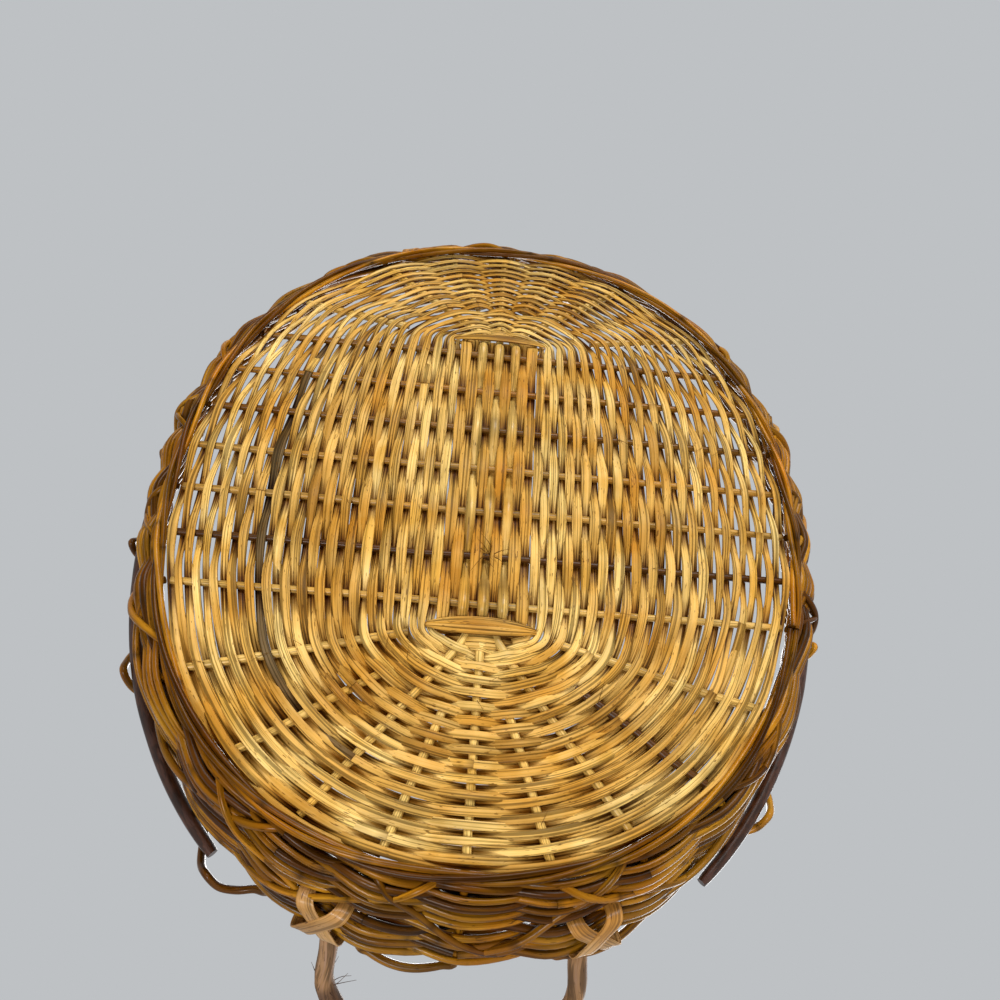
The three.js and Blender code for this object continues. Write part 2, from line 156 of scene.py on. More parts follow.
@dataclass
class CaneMesh:
    """One mesh made of swept lengths of cane, rod or branch.

    Each corner keeps its place in the straight, unbent length, so that grain runs along it.
    """

    name: str
    corners: list[np.ndarray] = field(default_factory=list)
    faces: list[tuple[int, ...]] = field(default_factory=list)
    unbent: list[np.ndarray] = field(default_factory=list)
    looks: list[np.ndarray] = field(default_factory=list)
    count: int = 0
    # Painted shade: how far the lit share shifts between the face turned towards a crossing and the face
    # turned away, and how wide the darkened narrow edges are.
    face_shade: float = 0.5
    edge_share: float = 0.25
    sharp_angle: float = math.radians(52)

    def sweep(
        self,
        rng: np.random.Generator,
        path: np.ndarray,
        out: np.ndarray,
        half_width: np.ndarray | float,
        half_depth: np.ndarray | float,
        tone: np.ndarray | float,
        unshaded: np.ndarray | float = 1.0,
        height: np.ndarray | float = 0.0,
        mark: np.ndarray | float = 0.0,
        section: Section = Section.ROUND,
        edge_shade: float = 0.0,
    ) -> None:
        """Adds one closed length that follows a path.

        Args:
            rng: the seeded source of chance.
            path: the points of its middle line.
            out: the way its broad face looks, one for all points or one for each.
            half_width: half its width across the broad face.
            half_depth: half its thickness.
            tone: from 0, pale, to 1, the odd dark length.
            unshaded: how free it is of painted hollow shade, from 0, fully shaded as in a hollow, to 1.
            height: 1 where it lies to the out side of what it crosses, -1 where it lies behind.
            mark: from 0 on unmarked skin to 1 on a dark knot or cut end.
            section: its shape across.
            edge_shade: how much painted shade its narrow edges take.
        """
        rows = len(path)
        along = lengths_along(path)
        forward = np.gradient(path, axis=0)
        forward /= np.linalg.norm(forward, axis=1, keepdims=True)
        sideways = np.cross(forward, np.broadcast_to(out, path.shape))
        sideways /= np.linalg.norm(sideways, axis=1, keepdims=True)
        upward = np.cross(sideways, forward)
        unit_x, unit_y = np.array(section.value).T
        x = np.broadcast_to(half_width, rows)[:, None] * unit_x
        y = np.broadcast_to(half_depth, rows)[:, None] * unit_y
        ring = path[:, None] + sideways[:, None] * x[..., None] + upward[:, None] * y[..., None]
        start = rng.uniform(0, 1, 3)
        length = np.broadcast_to(along[:, None], x.shape)
        place = np.stack([x + start[0], y + start[1], length + start[2]], -1)
        looks = (np.broadcast_to(np.reshape(v, (-1, 1)), x.shape) for v in (tone, mark, unshaded, height))
        tones, marks, unshaded_all, heights = looks
        # Painted shade: the share that stays lit drops on the face turned towards what a length crosses
        # and along its narrow edges.
        at_edge = np.clip((np.abs(unit_x) - 1) / self.edge_share + 1, 0, 1)
        clean = np.clip(unshaded_all + self.face_shade * heights * unit_y, 0, 1) * (1 - edge_shade * at_edge)
        self.corners.append(ring.reshape(-1, 3))
        self.unbent.append(place.reshape(-1, 3))
        self.looks.append(np.stack([tones, clean, marks], -1).reshape(-1, 3))
        self._skin(rows, len(unit_x))
        self.count += rows * len(unit_x)

    def _skin(self, rows: int, sides: int) -> None:
        """Closes the rings of the newest length with side faces and two ends.

        Args:
            rows: how many rings it has.
            sides: how many corners each ring has.
        """
        first = self.count
        for i in range(rows - 1):
            here, there = first + i * sides, first + (i + 1) * sides
            for j in range(sides):
                k = (j + 1) % sides
                self.faces.append((here + j, there + j, there + k, here + k))
        last = first + (rows - 1) * sides
        self.faces.append(tuple(range(first, first + sides)))
        self.faces.append(tuple(range(last + sides - 1, last - 1, -1)))

    def dress(self, material: bpy.types.Material, slot: str, *nodes: str) -> None:
        """Makes the object, gives it its finish and lets it stand for its solids.

        Args:
            material: the finish.
            slot: the record's material slot; not used.
            nodes: the solids it stands for.
        """
        mesh = bpy.data.meshes.new(self.name)
        mesh.from_pydata(np.vstack(self.corners).tolist(), [], self.faces)
        mesh.polygons.foreach_set("use_smooth", [True] * len(mesh.polygons))
        mesh.set_sharp_from_angle(angle=self.sharp_angle)
        unbent = mesh.attributes.new("unbent", "FLOAT_VECTOR", "POINT")
        unbent.data.foreach_set("vector", np.vstack(self.unbent).ravel())
        looks = np.vstack(self.looks)
        # The second column carries the painted hollow and edge shade to the finish.
        for column, label in enumerate(("tone", "unshaded", "mark")):
            mesh.attributes.new(label, "FLOAT", "POINT").data.foreach_set("value", looks[:, column].copy())
        mesh.materials.append(material)
        piece = bpy.data.objects.new(self.name, mesh)
        bpy.context.scene.collection.objects.link(piece)
        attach(piece, "root")
        if nodes:
            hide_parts(*nodes)
        LOG.info("%s: %d corners for %s", self.name, self.count, ", ".join(nodes) or "trim")


def grey(value: float) -> Colour:
    """A grey of one value."""
    return (value, value, value, 1.0)


@dataclass
class FinishNodes:
    """A material's node tree, with the kinds of node that a finish is made of."""

    nodes: bpy.types.Nodes
    links: bpy.types.NodeLinks

    def read(self, label: str, output: str = "Fac") -> bpy.types.NodeSocket:
        """Reads one of the mesh's own values.

        Args:
            label: the value's name.
            output: the kind of output, Fac for a number or Vector for a place.

        Returns:
            The value.
        """
        node = self.nodes.new("ShaderNodeAttribute")
        node.attribute_name = label
        return node.outputs[output]

    def noise(
        self,
        vector: bpy.types.NodeSocket,
        scale: tuple[float, float, float],
        detail: float,
    ) -> bpy.types.NodeSocket:
        """Makes a noise that can be stretched along the length.

        Args:
            vector: the place it is read at.
            scale: noise cells per metre across, through and along.
            detail: octaves of finer noise.

        Returns:
            The noise value.
        """
        stretch = self.nodes.new("ShaderNodeVectorMath")
        stretch.operation = "MULTIPLY"
        stretch.inputs[1].default_value = scale
        self.links.new(vector, stretch.inputs[0])
        noise = self.nodes.new("ShaderNodeTexNoise")
        noise.inputs["Scale"].default_value = 1.0
        noise.inputs["Detail"].default_value = detail
        self.links.new(stretch.outputs["Vector"], noise.inputs["Vector"])
        return noise.outputs["Fac"]

    def ramp(
        self,
        value: bpy.types.NodeSocket,
        stops: tuple[float, ...],
        colours: tuple[Colour, ...],
    ) -> bpy.types.NodeSocket:
        """Maps a value through colour stops.

        Args:
            value: the value to map.
            stops: places from 0 to 1.
            colours: the colour at each place.

        Returns:
            The mapped colour.
        """
        ramp = self.nodes.new("ShaderNodeValToRGB")
        elements = ramp.color_ramp.elements
        while len(elements) < len(stops):
            elements.new(1.0)
        for element, place, colour in zip(elements, stops, colours):
            element.position = place
            element.color = colour
        self.links.new(value, ramp.inputs["Fac"])
        return ramp.outputs["Color"]

    def multiply(self, first: bpy.types.NodeSocket, second: bpy.types.NodeSocket) -> bpy.types.NodeSocket:
        """Multiplies two colours.

        Args:
            first, second: the colours.

        Returns:
            Their product.
        """
        mix = self.nodes.new("ShaderNodeMix")
        mix.data_type = "RGBA"
        mix.blend_type = "MULTIPLY"
        mix.inputs["Factor"].default_value = 1.0
        self.links.new(first, mix.inputs[COLOUR_A])
        self.links.new(second, mix.inputs[COLOUR_B])
        return mix.outputs[COLOUR_MIX]

    def lay_over(
        self,
        colour: bpy.types.NodeSocket,
        share: bpy.types.NodeSocket,
        plain: Colour,
    ) -> bpy.types.NodeSocket:
        """Lays a plain colour over another by a share.

        Args:
            colour: the colour below.
            share: how much of the plain colour shows.
            plain: the plain colour.

        Returns:
            The mixed colour.
        """
        mix = self.nodes.new("ShaderNodeMix")
        mix.data_type = "RGBA"
        self.links.new(share, mix.inputs["Factor"])
        self.links.new(colour, mix.inputs[COLOUR_A])
        mix.inputs[COLOUR_B].default_value = plain
        return mix.outputs[COLOUR_MIX]

    def average(self, first: bpy.types.NodeSocket, second: bpy.types.NodeSocket) -> bpy.types.NodeSocket:
        """Takes the mean of two values.

        Args:
            first, second: the values.

        Returns:
            Their mean.
        """
        mix = self.nodes.new("ShaderNodeMix")
        mix.inputs["Factor"].default_value = 0.5
        self.links.new(first, mix.inputs[VALUE_A])
        self.links.new(second, mix.inputs[VALUE_B])
        return mix.outputs[VALUE_MIX]


@dataclass(frozen=True)
class CaneFinish:
    """A cane, rod or bark finish with grain, blotches, specks, and painted shade in the hollows and on
    narrow edges.

    Grain, blotch, speck and spread are noises, in cells per metre, and stops are the places on a
    noise or value where its colours lie. The first colours run with the tone of a length, from light
    through deep to odd.
    """

    name: str
    light: Colour
    deep: Colour
    odd: Colour
    stain: Colour
    roughness: Range
    coat: float
    gloss: float = 0.2
    coat_roughness: float = 0.16
    tone_stops: tuple[float, float, float] = (0.0, 0.7, 0.9)
    grain: tuple[float, float] = (1500.0, 22.0)
    grain_detail: float = 3.0
    grain_depth: float = 0.45
    grain_stops: tuple[float, float, float] = (0.42, 0.5, 0.64)
    pale_streak: Colour = (1.1, 1.15, 1.5, 1.0)
    blotch: tuple[float, float, float] = (160.0, 160.0, 38.0)
    blotch_detail: float = 2.0
    blotch_range: Range = (0.72, 1.08)
    blotch_stops: Range = (0.32, 0.62)
    speck: tuple[float, float, float] = (1500.0, 1500.0, 220.0)
    speck_detail: float = 1.0
    speck_share: float = 0.33
    speck_blur: float = 0.04
    speck_cover: float = 0.75
    spread: tuple[float, float, float] = (30.0, 30.0, 30.0)
    spread_detail: float = 3.0
    spread_stops: Range = (0.38, 0.58)
    varnish: Colour = srgb(232, 212, 160)
    # Painted shade: the colour laid into hollows and on narrow edges, and where on the lit share it sets
    # in.
    hollow_shade: Colour = srgb(124, 90, 24)
    hollow_shade_stops: Range = (0.26, 0.48)
    bump: float = 0.35
    bump_depth: float = 0.3 * MM

    def material(self) -> bpy.types.Material:
        """Builds the node material.

        Returns:
            The finished material.
        """
        material = bpy.data.materials.new(self.name)
        material.use_nodes = True
        tree = FinishNodes(material.node_tree.nodes, material.node_tree.links)
        shader = tree.nodes["Principled BSDF"]
        shader.inputs["Specular IOR Level"].default_value = self.gloss
        shader.inputs["Coat Weight"].default_value = self.coat
        shader.inputs["Coat Roughness"].default_value = self.coat_roughness
        unbent = tree.read("unbent", "Vector")
        across, along = self.grain
        grain = tree.noise(unbent, (across, across, along), self.grain_detail)
        blotch = tree.noise(unbent, self.blotch, self.blotch_detail)
        tree.links.new(self._colour(tree, unbent, grain, blotch), shader.inputs["Base Color"])
        rough = tree.nodes.new("ShaderNodeMapRange")
        rough.inputs["To Min"].default_value, rough.inputs["To Max"].default_value = self.roughness
        tree.links.new(blotch, rough.inputs["Value"])
        tree.links.new(rough.outputs["Result"], shader.inputs["Roughness"])
        relief = tree.nodes.new("ShaderNodeBump")
        relief.inputs["Strength"].default_value = self.bump
        relief.inputs["Distance"].default_value = self.bump_depth
        tree.links.new(grain, relief.inputs["Height"])
        tree.links.new(relief.outputs["Normal"], shader.inputs["Normal"])
        return material

    def _colour(
        self,
        tree: FinishNodes,
        unbent: bpy.types.NodeSocket,
        grain: bpy.types.NodeSocket,
        blotch: bpy.types.NodeSocket,
    ) -> bpy.types.NodeSocket:
        """Builds the colour: tone, grain, blotches, old varnish, specks, painted hollow shade and marks,
        in that order.

        Args:
            tree: the material's nodes.
            unbent: the place in the straight length.
            grain: the fine noise along the length.
            blotch: the coarse noise along the length.

        Returns:
            The finished colour.
        """
        plain = grey(1.0)
        colour = tree.ramp(tree.read("tone"), self.tone_stops, (self.light, self.deep, self.odd))
        streaks = (grey(1 - self.grain_depth), plain, self.pale_streak)
        colour = tree.multiply(tree.ramp(grain, self.grain_stops, streaks), colour)
        dark, bright = self.blotch_range
        colour = tree.multiply(tree.ramp(blotch, self.blotch_stops, (grey(dark), grey(bright))), colour)
        where = tree.nodes.new("ShaderNodeTexCoord").outputs["Object"]
        spread = tree.noise(where, self.spread, self.spread_detail)
        colour = tree.multiply(tree.ramp(spread, self.spread_stops, (self.varnish, plain)), colour)
        speck = tree.noise(unbent, self.speck, self.speck_detail)
        speck_stops = (self.speck_share - self.speck_blur, self.speck_share)
        specks = tree.ramp(speck, speck_stops, (grey(self.speck_cover), grey(0.0)))
        colour = tree.lay_over(colour, specks, self.stain)
        # Painted shade: hollows and edges darken by the mesh's lit share, broken up by the grain.
        clean = tree.average(tree.read("unshaded"), grain)
        colour = tree.multiply(tree.ramp(clean, self.hollow_shade_stops, (self.hollow_shade, plain)), colour)
        return tree.lay_over(colour, tree.read("mark"), self.stain)


FLAT_CORE = CaneFinish(
    name="flat_core",
    light=srgb(236, 204, 122),
    deep=srgb(202, 154, 64),
    odd=srgb(112, 92, 58),
    stain=srgb(88, 56, 12),
    roughness=(0.45, 0.65),
    coat=0.02,
    gloss=0.1,
    grain=(1250.0, 9.0),
    grain_depth=0.6,
    bump=0.6,
)
ROUND_CORE = CaneFinish(
    name="round_core",
    light=srgb(242, 208, 120),
    deep=srgb(160, 114, 36),
    odd=srgb(84, 52, 14),
    stain=srgb(72, 44, 10),
    roughness=(0.28, 0.46),
    coat=0.15,
    speck_share=0.29,
)
SKIN_ROD = CaneFinish(
    name="skin_rod",
    light=srgb(196, 138, 32),
    deep=srgb(106, 66, 8),
    odd=srgb(94, 58, 12),
    stain=srgb(46, 27, 6),
    roughness=(0.14, 0.36),
    coat=0.22,
    gloss=0.1,
    # Painted shade between the woven rods.
    hollow_shade=srgb(92, 62, 14),
    grain=(700.0, 18.0),
    grain_depth=0.5,
    speck_share=0.32,
    bump=0.3,
)
DARK_BARK = CaneFinish(
    name="dark_bark",
    light=srgb(84, 52, 36),
    deep=srgb(62, 37, 25),
    odd=srgb(46, 28, 20),
    stain=srgb(34, 20, 14),
    roughness=(0.22, 0.45),
    coat=0.3,
    grain=(420.0, 120.0),
    grain_depth=0.5,
    speck_share=0.4,
    bump=0.5,
)
BRANCH_BARK = CaneFinish(
    name="branch_bark",
    light=srgb(172, 134, 94),
    deep=srgb(140, 104, 70),
    odd=srgb(84, 58, 42),
    stain=srgb(64, 42, 30),
    roughness=(0.5, 0.75),
    coat=0.05,
    grain=(700.0, 45.0),
    grain_depth=0.55,
    bump=0.6,
)
PEEL_STRIP = CaneFinish(
    name="peel_strip",
    light=srgb(206, 160, 96),
    deep=srgb(176, 128, 66),
    odd=srgb(140, 98, 52),
    stain=srgb(88, 54, 24),
    roughness=(0.35, 0.55),
    coat=0.2,
    grain=(1200.0, 16.0),
    bump=0.3,
)


@dataclass(frozen=True)
class Oval:
    """The oval line where the flat weave ends."""

    half_length: float = 176.5 * MM
    half_width: float = 162 * MM
    exponent: float = 2.17

    def point(self, angle: float) -> np.ndarray:
        """The point of the line at its own angle."""
        power = 2 / self.exponent
        return np.array([self.half_length * signed_power(math.cos(angle), power),
                         self.half_width * signed_power(math.sin(angle), power)])

    def normal(self, point: np.ndarray) -> np.ndarray:
        """Finds the outward direction at a point of the line.

        Args:
            point: a point of the line.

        Returns:
            The unit direction.
        """
        size = np.array([self.half_length, self.half_width])
        direction = signed_power(point / size, self.exponent - 1) / size
        return direction / np.linalg.norm(direction)

    def angle(self, point: np.ndarray) -> float:
        """The line's own angle at a point of it."""
        power = self.exponent / 2
        return math.atan2(signed_power(point[1] / self.half_width, power),
                          signed_power(point[0] / self.half_length, power))

    def meet(self, origin: np.ndarray, direction: np.ndarray) -> np.ndarray:
        """Finds where a ray from inside meets the line.

        Args:
            origin: a point inside the oval.
            direction: the ray's unit direction.

        Returns:
            The point on the line.
        """
        size = np.array([self.half_length, self.half_width])
        halvings = 50
        inside, outside = 0.0, self.half_length + self.half_width
        for _ in range(halvings):
            middle = (inside + outside) / 2
            reach = (np.abs((origin + direction * middle) / size) ** self.exponent).sum()
            inside, outside = (middle, outside) if reach < 1 else (inside, middle)
        return origin + direction * inside


@dataclass(frozen=True)
class Station:
    """A line that every course crosses: one end of a cross stick, or a spoke."""

    inner: np.ndarray
    outer: np.ndarray
    start: float = 0.0

    def at(self, share: float) -> np.ndarray:
        """The point at a share of the way out."""
        return self.inner + (self.outer - self.inner) * share


@dataclass
class BasePlan:
    """Where the sticks, spokes and courses of the base lie."""

    oval: Oval = field(default_factory=Oval)
    stick_count: int = 7
    stick_spacing: float = 25.9 * MM
    field_offset: float = 21 * MM
    column_pitch: float = 4.9 * MM
    centre_half_width: float = 23 * MM
    strap_setback: float = 8 * MM
    strap_width: float = 4.4 * MM
    cap_gap: float = 3.6 * MM
    cap_spread: float = 2.4 * MM
    trim: float = 2.5 * MM
    near_reach: int = 4
    far_reach: int = 3
    near_fan_step: float = math.radians(19)
    far_fan_step: float = math.radians(27)
    near_strap_turns: int = 2
    far_strap_turns: int = 1
    long_spokes: tuple[int, int, int] = (-2, 0, 2)
    course_count: int = 31
    late_start: float = 0.3
    outer_start: float = 0.08
    stations: list[Station] = field(default_factory=list)

    def __post_init__(self) -> None:
        """Lays out the stations in order round the base."""
        sticks = range(self.stick_count)
        self.stations += [self.stick(i, Side.RIGHT) for i in sticks]
        self.stations += [self.spoke(End.FAR, k) for k in reversed(self.spoke_numbers(End.FAR))]
        self.stations += [self.stick(i, Side.LEFT) for i in reversed(sticks)]
        self.stations += [self.spoke(End.NEAR, k) for k in self.spoke_numbers(End.NEAR)]

    def spoke_numbers(self, end: End) -> range:
        """The numbers of a fan's spokes, from its left to its right."""
        reach = self.near_reach if end is End.NEAR else self.far_reach
        return range(-reach, reach + 1)

    def strap_turns(self, end: End) -> int:
        """How often the strap goes round the lengthwise sticks."""
        return self.near_strap_turns if end is End.NEAR else self.far_strap_turns

    @property
    def near_start(self) -> int:
        """The number of the near fan's first station."""
        return 2 * self.stick_count + len(self.spoke_numbers(End.FAR))

    def stick_place(self, i: int) -> float:
        """X of a cross stick."""
        return self.field_offset + (i - (self.stick_count - 1) / 2) * self.stick_spacing

    def fan_centre(self, end: End) -> float:
        """X of the point that an end's spokes fan out from."""
        last = 0 if end is End.NEAR else self.stick_count - 1
        return self.stick_place(last) + end.value * self.strap_setback

    def stick(self, i: int, side: Side) -> Station:
        """The station at one end of a cross stick.

        Args:
            i: the stick's number from the near one at 0.
            side: the side its end is on.

        Returns:
            The station.
        """
        x = self.stick_place(i)
        edge = self.oval.meet(np.array([x, 0.0]), np.array([0.0, side.value]))
        return Station(np.array([x, side.value * self.centre_half_width]), edge)

    def spoke(self, end: End, k: int) -> Station:
        """The station of a spoke.

        Args:
            end: the end whose fan it is in.
            k: its number, from the middle one at 0.

        Returns:
            The station.
        """
        angle = k * (self.near_fan_step if end is End.NEAR else self.far_fan_step)
        direction = np.array([end.value * math.cos(angle), math.sin(angle)])
        centre = np.array([self.fan_centre(end), 0.0])
        depth = self.strap_turns(end) * self.strap_width + self.cap_gap
        half_span = self.centre_half_width + self.cap_spread
        cap = 1 / math.hypot(math.cos(angle) / depth, math.sin(angle) / half_span)
        start = self.late_start if k % 2 else (0.0 if k in self.long_spokes else self.outer_start)
        return Station(centre + direction * cap, self.oval.meet(centre, direction), start)

    def station(self, j: int) -> Station:
        """The station with a number that may run on past one turn."""
        return self.stations[j % len(self.stations)]

    def trimmed(self, station: Station) -> np.ndarray:
        """Where a stick on a station is cut, short of the edge."""
        along = station.outer - station.inner
        return station.outer - along / np.linalg.norm(along) * self.trim

    def angle_at(self, place: float) -> float:
        """The edge's angle at a station number, whole or between two.

        Args:
            place: the station number.

        Returns:
            The angle on the oval line.
        """
        first = self.oval.angle(self.station(math.floor(place)).outer)
        turn = self.oval.angle(self.station(math.floor(place) + 1).outer) - first
        turn = (turn + math.pi) % (2 * math.pi) - math.pi
        return first + turn * (place - math.floor(place))

    def courses_gained(self, m: float) -> float:
        """How many courses a strand has moved out by the time it crosses station m.

        Args:
            m: stations crossed so far, which may run over many turns.

        Returns:
            Two for each turn, gained while it crosses the near end.
        """
        around = len(self.stations)
        steady = self.near_start - 1
        turn = math.floor(m / around)
        past = m - turn * around - steady
        return 2 * (turn + max(past, 0.0) / (around - steady))

    def clear_pitch(self, j: int, share: float) -> float:
        """The room across a course at a station.

        Args:
            j: the station's number.
            share: how far out the course lies.

        Returns:
            The pitch square to the strand, the lesser of both sides.
        """
        station = self.station(j)
        across = station.outer - station.inner
        pitches = []
        for neighbour in (j - 1, j + 1):
            along = self.station(neighbour).at(share) - station.at(share)
            along /= np.linalg.norm(along)
            pitches.append(abs(along[0] * across[1] - along[1] * across[0]) / self.course_count)
        return min(pitches)


@dataclass
class BasePart:
    """What every part of the flat base shares: the plan, the level and the sizes where parts cross."""

    plan: BasePlan
    level: float
    rng: np.random.Generator
    stick_radius: float = 1.9 * MM
    strand_depth: float = 1.2 * MM
    strand_gap: float = 0.1 * MM
    # Painted shade along the strands' narrow edges, where they meet their neighbours.
    edge_shade: float = 0.6
    zone_steepness: float = 8.0

    @property
    def lift(self) -> float:
        """How far a strand's middle lies from the level of the sticks it crosses."""
        return self.stick_radius + self.strand_depth / 2 + self.strand_gap

    def place(self, point: np.ndarray, height: float = 0.0) -> list[float]:
        """A point of the plan as a point in space."""
        return [float(point[0]), float(point[1]), self.level + height]

    def soft_edge(self, depth: np.ndarray) -> np.ndarray:
        """A share that grows from 0 at the edge of a zone to 1 a little way into it."""
        return np.clip(self.zone_steepness * depth, 0, 1)

    def flat(
        self,
        mesh: CaneMesh,
        path: np.ndarray,
        out: np.ndarray,
        half_width: np.ndarray | float,
        half_depth: np.ndarray | float,
        tone: float,
        height: np.ndarray,
        mark: np.ndarray | float = 0.0,
        unshaded: np.ndarray | float = 0.5,
    ) -> None:
        """Adds one flat strand, with painted shade along its edges and where it lies behind.

        Args:
            mesh: the mesh to add to.
            path: the points of its middle line.
            out: the way its broad face looks.
            half_width: half its width.
            half_depth: half its thickness.
            tone: its tone.
            height: 1 where it lies above what it crosses, -1 where it lies below.
            mark: from 0 on unmarked skin to 1 on a dark cut end.
            unshaded: how free it is of painted hollow shade.
        """
        mesh.sweep(
            self.rng, path, out, half_width, half_depth, tone, unshaded, height, mark,
            section=Section.SPLIT, edge_shade=self.edge_shade,
        )


@dataclass
class RoundSticks(BasePart):
    """The round cross sticks, lengthwise sticks and spokes of the base."""

    stick_points: int = 9
    stick_steps: int = 24
    stick_stray: float = 0.25 * MM
    stick_gap: float = 0.2 * MM
    stick_tone: float = 0.3
    stick_tone_step: float = 0.08
    dark_sticks: dict[int, float] = field(default_factory=lambda: {1: 0.95, 4: 0.82})
    long_steps: int = 8
    long_tone: float = 0.05
    bundle_spread: float = 1.3
    bundle_tone: float = 0.16
    spoke_radius: float = 2.2 * MM
    spoke_points: int = 5
    spoke_steps: int = 10
    spoke_stray: float = 0.3 * MM
    spoke_tones: Range = (0.0, 0.3)
    dark_spoke: tuple[End, int] = (End.NEAR, 3)
    dark_spoke_tone: float = 0.92
    drift: Drift = (12 * MM, 0.035)
    blotches: Drift = (9 * MM, 0.26)
    deepest_blotch: float = 0.7
    cut_mark: float = 0.55
    cut_reach: float = 1.2 * MM

    def straight(self, start: np.ndarray, stop: np.ndarray, count: int) -> np.ndarray:
        """Evenly spaced points in space between two points of the plan."""
        return np.array([self.place(start + (stop - start) * share) for share in np.linspace(0, 1, count)])

    def rod(
        self,
        mesh: CaneMesh,
        points: np.ndarray,
        radius: float,
        tone: float,
        steps: int,
        is_bundled: bool = False,
    ) -> None:
        """Adds one round stick along points, a little uneven and dark at its cut ends.

        Args:
            mesh: the mesh to add to.
            points: the points of its middle line.
            radius: its usual radius.
            tone: its tone.
            steps: steps between two points.
            is_bundled: whether it is pressed wider and deeper in tone in the middle bundle.
        """
        path = smooth(points, steps)
        along = lengths_along(path)
        bundle_half = self.plan.stick_count * self.plan.stick_spacing / 2
        from_edge = 1 - np.abs(path[:, 0] - self.plan.field_offset) / bundle_half
        bundled = self.soft_edge(from_edge) * is_bundled
        broad = 1 + (self.bundle_spread - 1) * bundled
        size = radius * (1 + wander(self.rng, along, self.drift))
        mark = np.clip(wander(self.rng, along, self.blotches), 0, self.deepest_blotch)
        mark = np.maximum(mark, self.cut_mark * cut_ends(along, self.cut_reach))
        tones = tone + self.bundle_tone * bundled
        mesh.sweep(self.rng, path, SKYWARD, size * broad, size, tones, mark=mark)

    def cross_stick(self, i: int, finish: bpy.types.Material) -> None:
        """Makes one cross stick; some of them kept their dark skin.

        Args:
            i: its number from the near one at 0.
            finish: its material.
        """
        mesh = CaneMesh(f"fine_cross_stick_{i + 1}")
        left, right = (self.plan.trimmed(self.plan.stick(i, side)) for side in Side)
        points = self.straight(left, right, self.stick_points)
        points[1:-1, 0] += self.rng.normal(0, self.stick_stray, len(points) - 2)
        tone = self.dark_sticks.get(i, self.stick_tone + self.stick_tone_step * i)
        self.rod(mesh, points, self.stick_radius, tone, self.stick_steps)
        mesh.dress(finish, "round_core", f"cross_stick_{i + 1}")

    def long_stick(self, name: str, column: int, finish: bpy.types.Material) -> None:
        """Makes one lengthwise stick that fans out at both ends.

        Args:
            name: its place.
            column: -1, 0 or 1 from left to right.
            finish: its material.
        """
        y = 2 * column * self.plan.column_pitch
        rise = self.stick_radius + self.spoke_radius + self.stick_gap
        fans = []
        for end in End:
            spoke = self.plan.spoke(end, 2 * column)
            turn = np.array([self.plan.fan_centre(end), y])
            spots = (self.plan.trimmed(spoke), spoke.at(0.5), spoke.inner, turn)
            fans.append([self.place(spot) for spot in spots])
        near, far = fans
        bundle = []
        for i in range(self.plan.stick_count):
            bundle.append(self.place(np.array([self.plan.stick_place(i), y]), rise if i % 2 else -rise))
        points = np.array([*near, *bundle, *reversed(far)])
        mesh = CaneMesh(f"fine_long_stick_{name}")
        self.rod(mesh, points, self.spoke_radius, self.long_tone, self.long_steps, is_bundled=True)
        mesh.dress(finish, "round_core", f"long_stick_{name}")

    def spokes(self, end: End, finish: bpy.types.Material) -> None:
        """Makes the short spokes of one end.

        Args:
            end: the end whose fan they are in.
            finish: their material.
        """
        short = [k for k in self.plan.spoke_numbers(end) if k not in self.plan.long_spokes]
        for number, k in enumerate(short, start=1):
            station = self.plan.spoke(end, k)
            name = f"{end.name.lower()}_spoke_{number}"
            inner = station.at(station.start + 1 / self.plan.course_count)
            points = self.straight(inner, self.plan.trimmed(station), self.spoke_points)
            points[1:-1, :2] += self.rng.normal(0, self.spoke_stray, (len(points) - 2, 2))
            mesh = CaneMesh(f"fine_{name}")
            is_dark = (end, k) == self.dark_spoke
            tone = self.dark_spoke_tone if is_dark else self.rng.uniform(*self.spoke_tones)
            self.rod(mesh, points, self.spoke_radius, tone, self.spoke_steps)
            mesh.dress(finish, "round_core", name)


